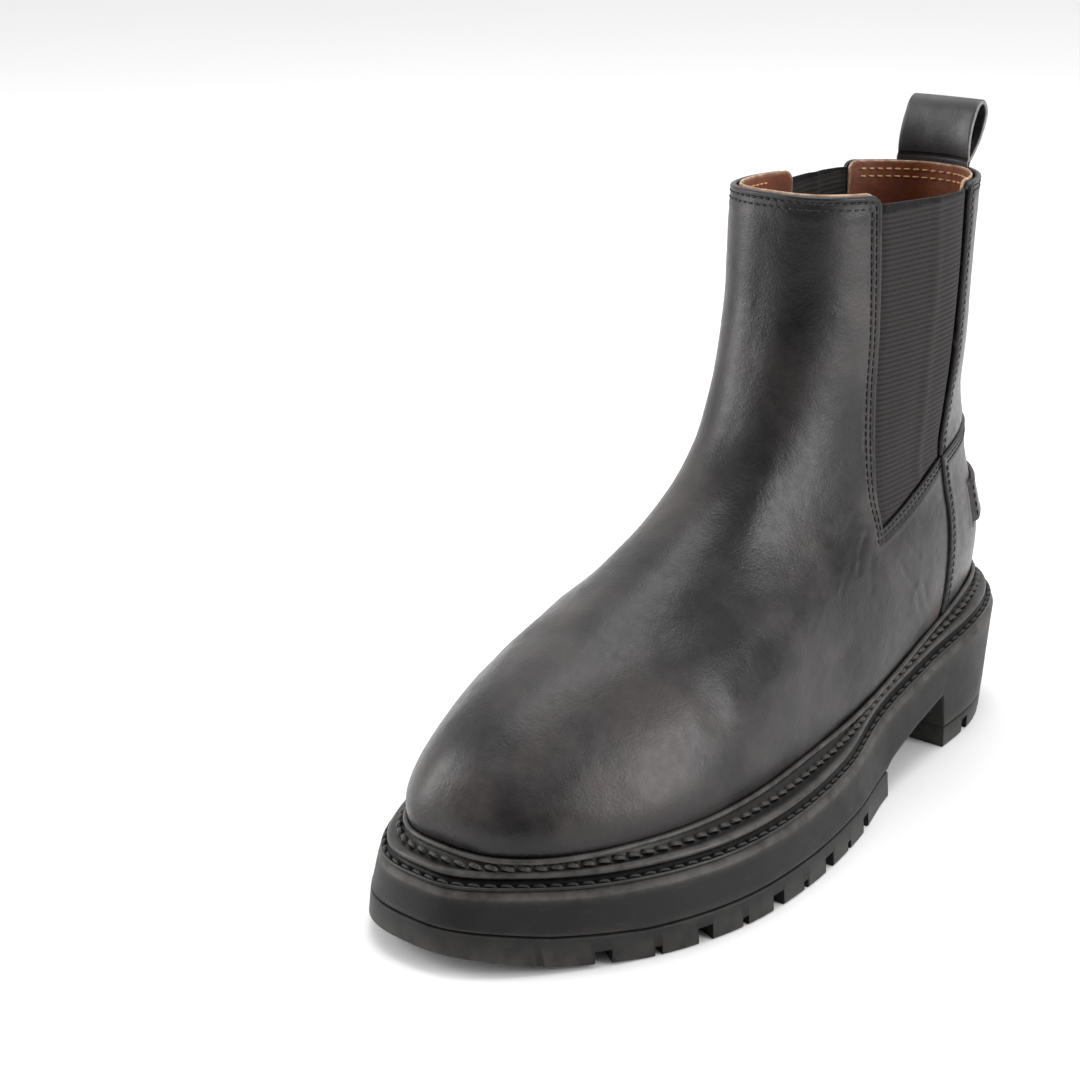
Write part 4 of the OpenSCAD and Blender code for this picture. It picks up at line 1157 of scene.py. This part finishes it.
# wide notches are this far apart, with a narrow one between each two; the first is at NOTCH_X
LUG_PITCH, NOTCH_X = 31.2, 102.5
boxes = [box((NOTCH_X + LUG_PITCH * k, -20, -1), (NOTCH_X + LUG_PITCH * k + 5, 20, LUG_D))
         for k in range(4)]
for k in range(5):
    for end in (-1, 1):
        boxes.append(notch(NOTCH_X + LUG_PITCH * k, end, 5.6, LUG_D, 12))
        boxes.append(notch(NOTCH_X + LUG_PITCH * (k + 0.5), end, 2.6, LUG_D * 0.6, 7))
place(cut(tread, boxes), BOOT, "rubber", "forepart_tread")

heel = even_angles(0, BREAST[0], STEP)
HEEL_RING = np.concatenate([heel, 360 - heel[:0:-1]])
FLAT_LOW = [(-60, 0), (300, 0)]
rings = [ring(HEEL_RING, d, FLAT_LOW, dz, flare) for d, dz, flare in (
    (0.5, 0.0, 0.9), (0.0, 0.5, 0.9), (0.0, LIFT_H - 0.6, 0.74), (0.5, LIFT_H - 0.1, 0.72))]
worn = mark_rings(rings, [0.9, 0.5, 0.3, 0.1])
lift = build("heel_lift_block", *loft(rings), material=MAT["rubber"], marks={"worn": worn})
boxes = []
for sign in (-1, 1):
    for a, b, far, near in ((-12, -9, 41, 27), (8, 13, 47, 33)):
        y = sorted((sign * far, sign * near))
        boxes.append(box((a, y[0], -1), (b, y[1], LUG_D)))
boxes.append(box((-42, -3, -1), (-28, 3, LUG_D)))
place(cut(lift, boxes), BOOT, "rubber", "heel_lift")

# height of the footbed's underside above the midsole, as in part.scad
FOOTBED_Z = 4.35
rings = []
level = np.zeros(len(AROUND))
for inset, z in ((1.2, 0.0), (0.95, 0.6), (1.0, 2.0), (1.6, 2.7), (2.6, 3.0)):
    q = skin(level, AROUND) - (D_LINE1 + inset) * skin_out(level, AROUND)
    q[:, 2] = top_z(q[:, 0]) + MIDSOLE_T + FOOTBED_Z + z
    rings.append(q)
place(build("footbed_sock", *loft(rings), material=MAT["footbed"]), BOOT,
                "footbed_leather", "footbed")


# ---------------------------------------------------------------- pull loop

# the strap wraps round the back of the topline, an oval of this half length, half width and power
OVAL_LONG, OVAL_WIDE, OVAL_POWER = 58.5, 29, 2.45


def pull_loop():
    """Strap bent into a teardrop; its two legs are skived thin and sewn in behind the back panel."""
    lean = math.radians(TAB_LEAN)
    # angle round the teardrop, which starts and ends just above the topline
    a = 2 * np.pi * np.linspace(0.055, 0.945, 70)
    mid = np.stack([-(TAB_GAP + TAB_T) / 2 * np.sin(a) * np.abs(np.sin(a / 2)) ** 0.6,
                    TAB_H / 2 * (1 - np.cos(a))], 1)
    # heights on a leg, each with the leg's distance from the middle and its thickness
    leg_z = [-9.5, -2.5, 0]
    leg = np.linspace(leg_z[0], -0.6, 12)
    back_leg = np.stack([np.interp(leg, leg_z, [0.05, -0.2, -0.75]), leg], 1)
    fore_leg = np.stack([np.interp(leg, leg_z, [0.5, 0.7, 0.95]), leg], 1)
    skived = np.interp(leg, leg_z, [0.4, 0.8, 1.5])
    path = np.concatenate([back_leg, mid, fore_leg[::-1]])
    thick = np.concatenate([skived, np.full(len(a), TAB_T), skived[::-1]])
    way = unit(np.gradient(path, axis=0))
    side = np.stack([-way[:, 1], way[:, 0]], 1)
    across = np.linspace(-1, 1, 25)
    # cross section: outer face, rounded edge, inner face, rounded edge
    flat, half = len(across), TAB_W / 2
    ys = np.concatenate([across * (half - 0.4), [half, half], -across * (half - 0.4), [-half, -half]])
    ts = np.concatenate([np.full(flat, 0.5), [0.28, -0.28], np.full(flat, -0.5), [-0.28, 0.28]])
    raw = np.concatenate([np.zeros(flat), [1, 1], np.zeros(flat), [1, 1]])
    n = len(ys)
    pts = []
    for (px, pz), (sx, sz), t in zip(path, side, thick):
        x = px + sx * ts * t
        z = pz + sz * ts * t
        wx = x * math.cos(lean) - z * math.sin(lean) * (z > 0)
        wz = x * math.sin(lean) * (z > 0) + z * np.where(z > 0, math.cos(lean), 1)
        y = TAB_Y + ys
        far = np.abs((y + 3) / OVAL_WIDE) ** OVAL_POWER
        wrap = OVAL_LONG * (1 - np.maximum(1 - far, 0) ** (1 / OVAL_POWER))
        hold = np.clip(1 - (wz + 1) / (TAB_H * 0.9), 0.12, 1)
        pts.append(np.stack([TAB_X + wx + wrap * hold + 0.25 * (wz < 0), y, TAB_Z + wz], 1))
    pts = np.concatenate(pts)
    m = len(path)
    quads = tube_quads(m, n)
    # both ends are closed by quads from the outer face to the inner one, and across each edge
    cap = [[b, b + 1, 2 * flat - b, 2 * flat - b + 1] for b in range(flat - 1)]
    cap += [[flat - 1, flat, flat + 1, flat + 2], [n - 3, n - 2, n - 1, 0]]
    quads = np.concatenate([quads, cap, np.array(cap) + (m - 1) * n])
    pts = pts + 0.12 * ripple(pts, 11, 6.0, 3)[:, None] * np.array([1.0, 0, 0.4])
    return build("pull_loop_strap", pts, quads, (), MAT["strap_raw"],
                 {"raw": np.tile(raw, m), "worn": np.tile(raw, m) * 0.8})


place(pull_loop(), "root", "strap_leather", "pull_tab", "tab_anchor")


# ---------------------------------------------------------------- stage and light

def stage():
    far = 6000
    floor = build("floor", [[-far, -far, 0], [far, -far, 0], [far, far, 0], [-far, far, 0]],
                  [[0, 1, 2, 3]], smooth=False)
    m = Paint("floor_paper", Specular_IOR_Level=0.0)
    tone = m.mix(m.noise(3, 2), (0.84, 0.84, 0.84), (0.86, 0.86, 0.86))
    floor.data.materials.append(m.finish(tone, 0.75))
    world = bpy.data.worlds.new("studio")
    bpy.context.scene.world = world
    world.use_nodes = True
    tree = world.node_tree
    sky = tree.nodes["Background"]
    way = tree.nodes.new("ShaderNodeTexCoord").outputs["Generated"]
    # the studio is dark towards the camera and bright overhead
    lean = tree.nodes.new("ShaderNodeVectorMath")
    lean.operation = "DOT_PRODUCT"
    lean.inputs[1].default_value = (-0.42, -0.32, 0.85)
    tree.links.new(way, lean.inputs[0])
    shade = tree.nodes.new("ShaderNodeMapRange")
    for key, value in (("From Min", -0.1), ("From Max", 0.95), ("To Min", 0.14), ("To Max", 1.42)):
        shade.inputs[key].default_value = value
    tree.links.new(lean.outputs["Value"], shade.inputs["Value"])
    sky.inputs["Color"].default_value = (1, 1, 1, 1)
    tree.links.new(shade.outputs["Result"], sky.inputs["Strength"])
    focus = Vector((0.09, 0.0, 0.09))
    for name, at, size, power in (("right", (-0.2, 1.45, 0.55), (0.7, 1.05), 19),
                                  ("left", (0.95, -1.1, 0.55), (0.6, 1.05), 15),
                                  ("top", (-0.15, -0.1, 1.7), (1.1, 1.1), 14)):
        light = bpy.data.lights.new(name, "AREA")
        light.shape, light.size, light.size_y, light.energy = "RECTANGLE", size[0], size[1], power
        lamp = bpy.data.objects.new(name, light)
        lamp.location = at
        lamp.rotation_euler = (focus - Vector(at)).to_track_quat("-Z", "Y").to_euler()
        bpy.context.scene.collection.objects.link(lamp)


stage()
bpy.context.scene.view_settings.view_transform = "Standard"
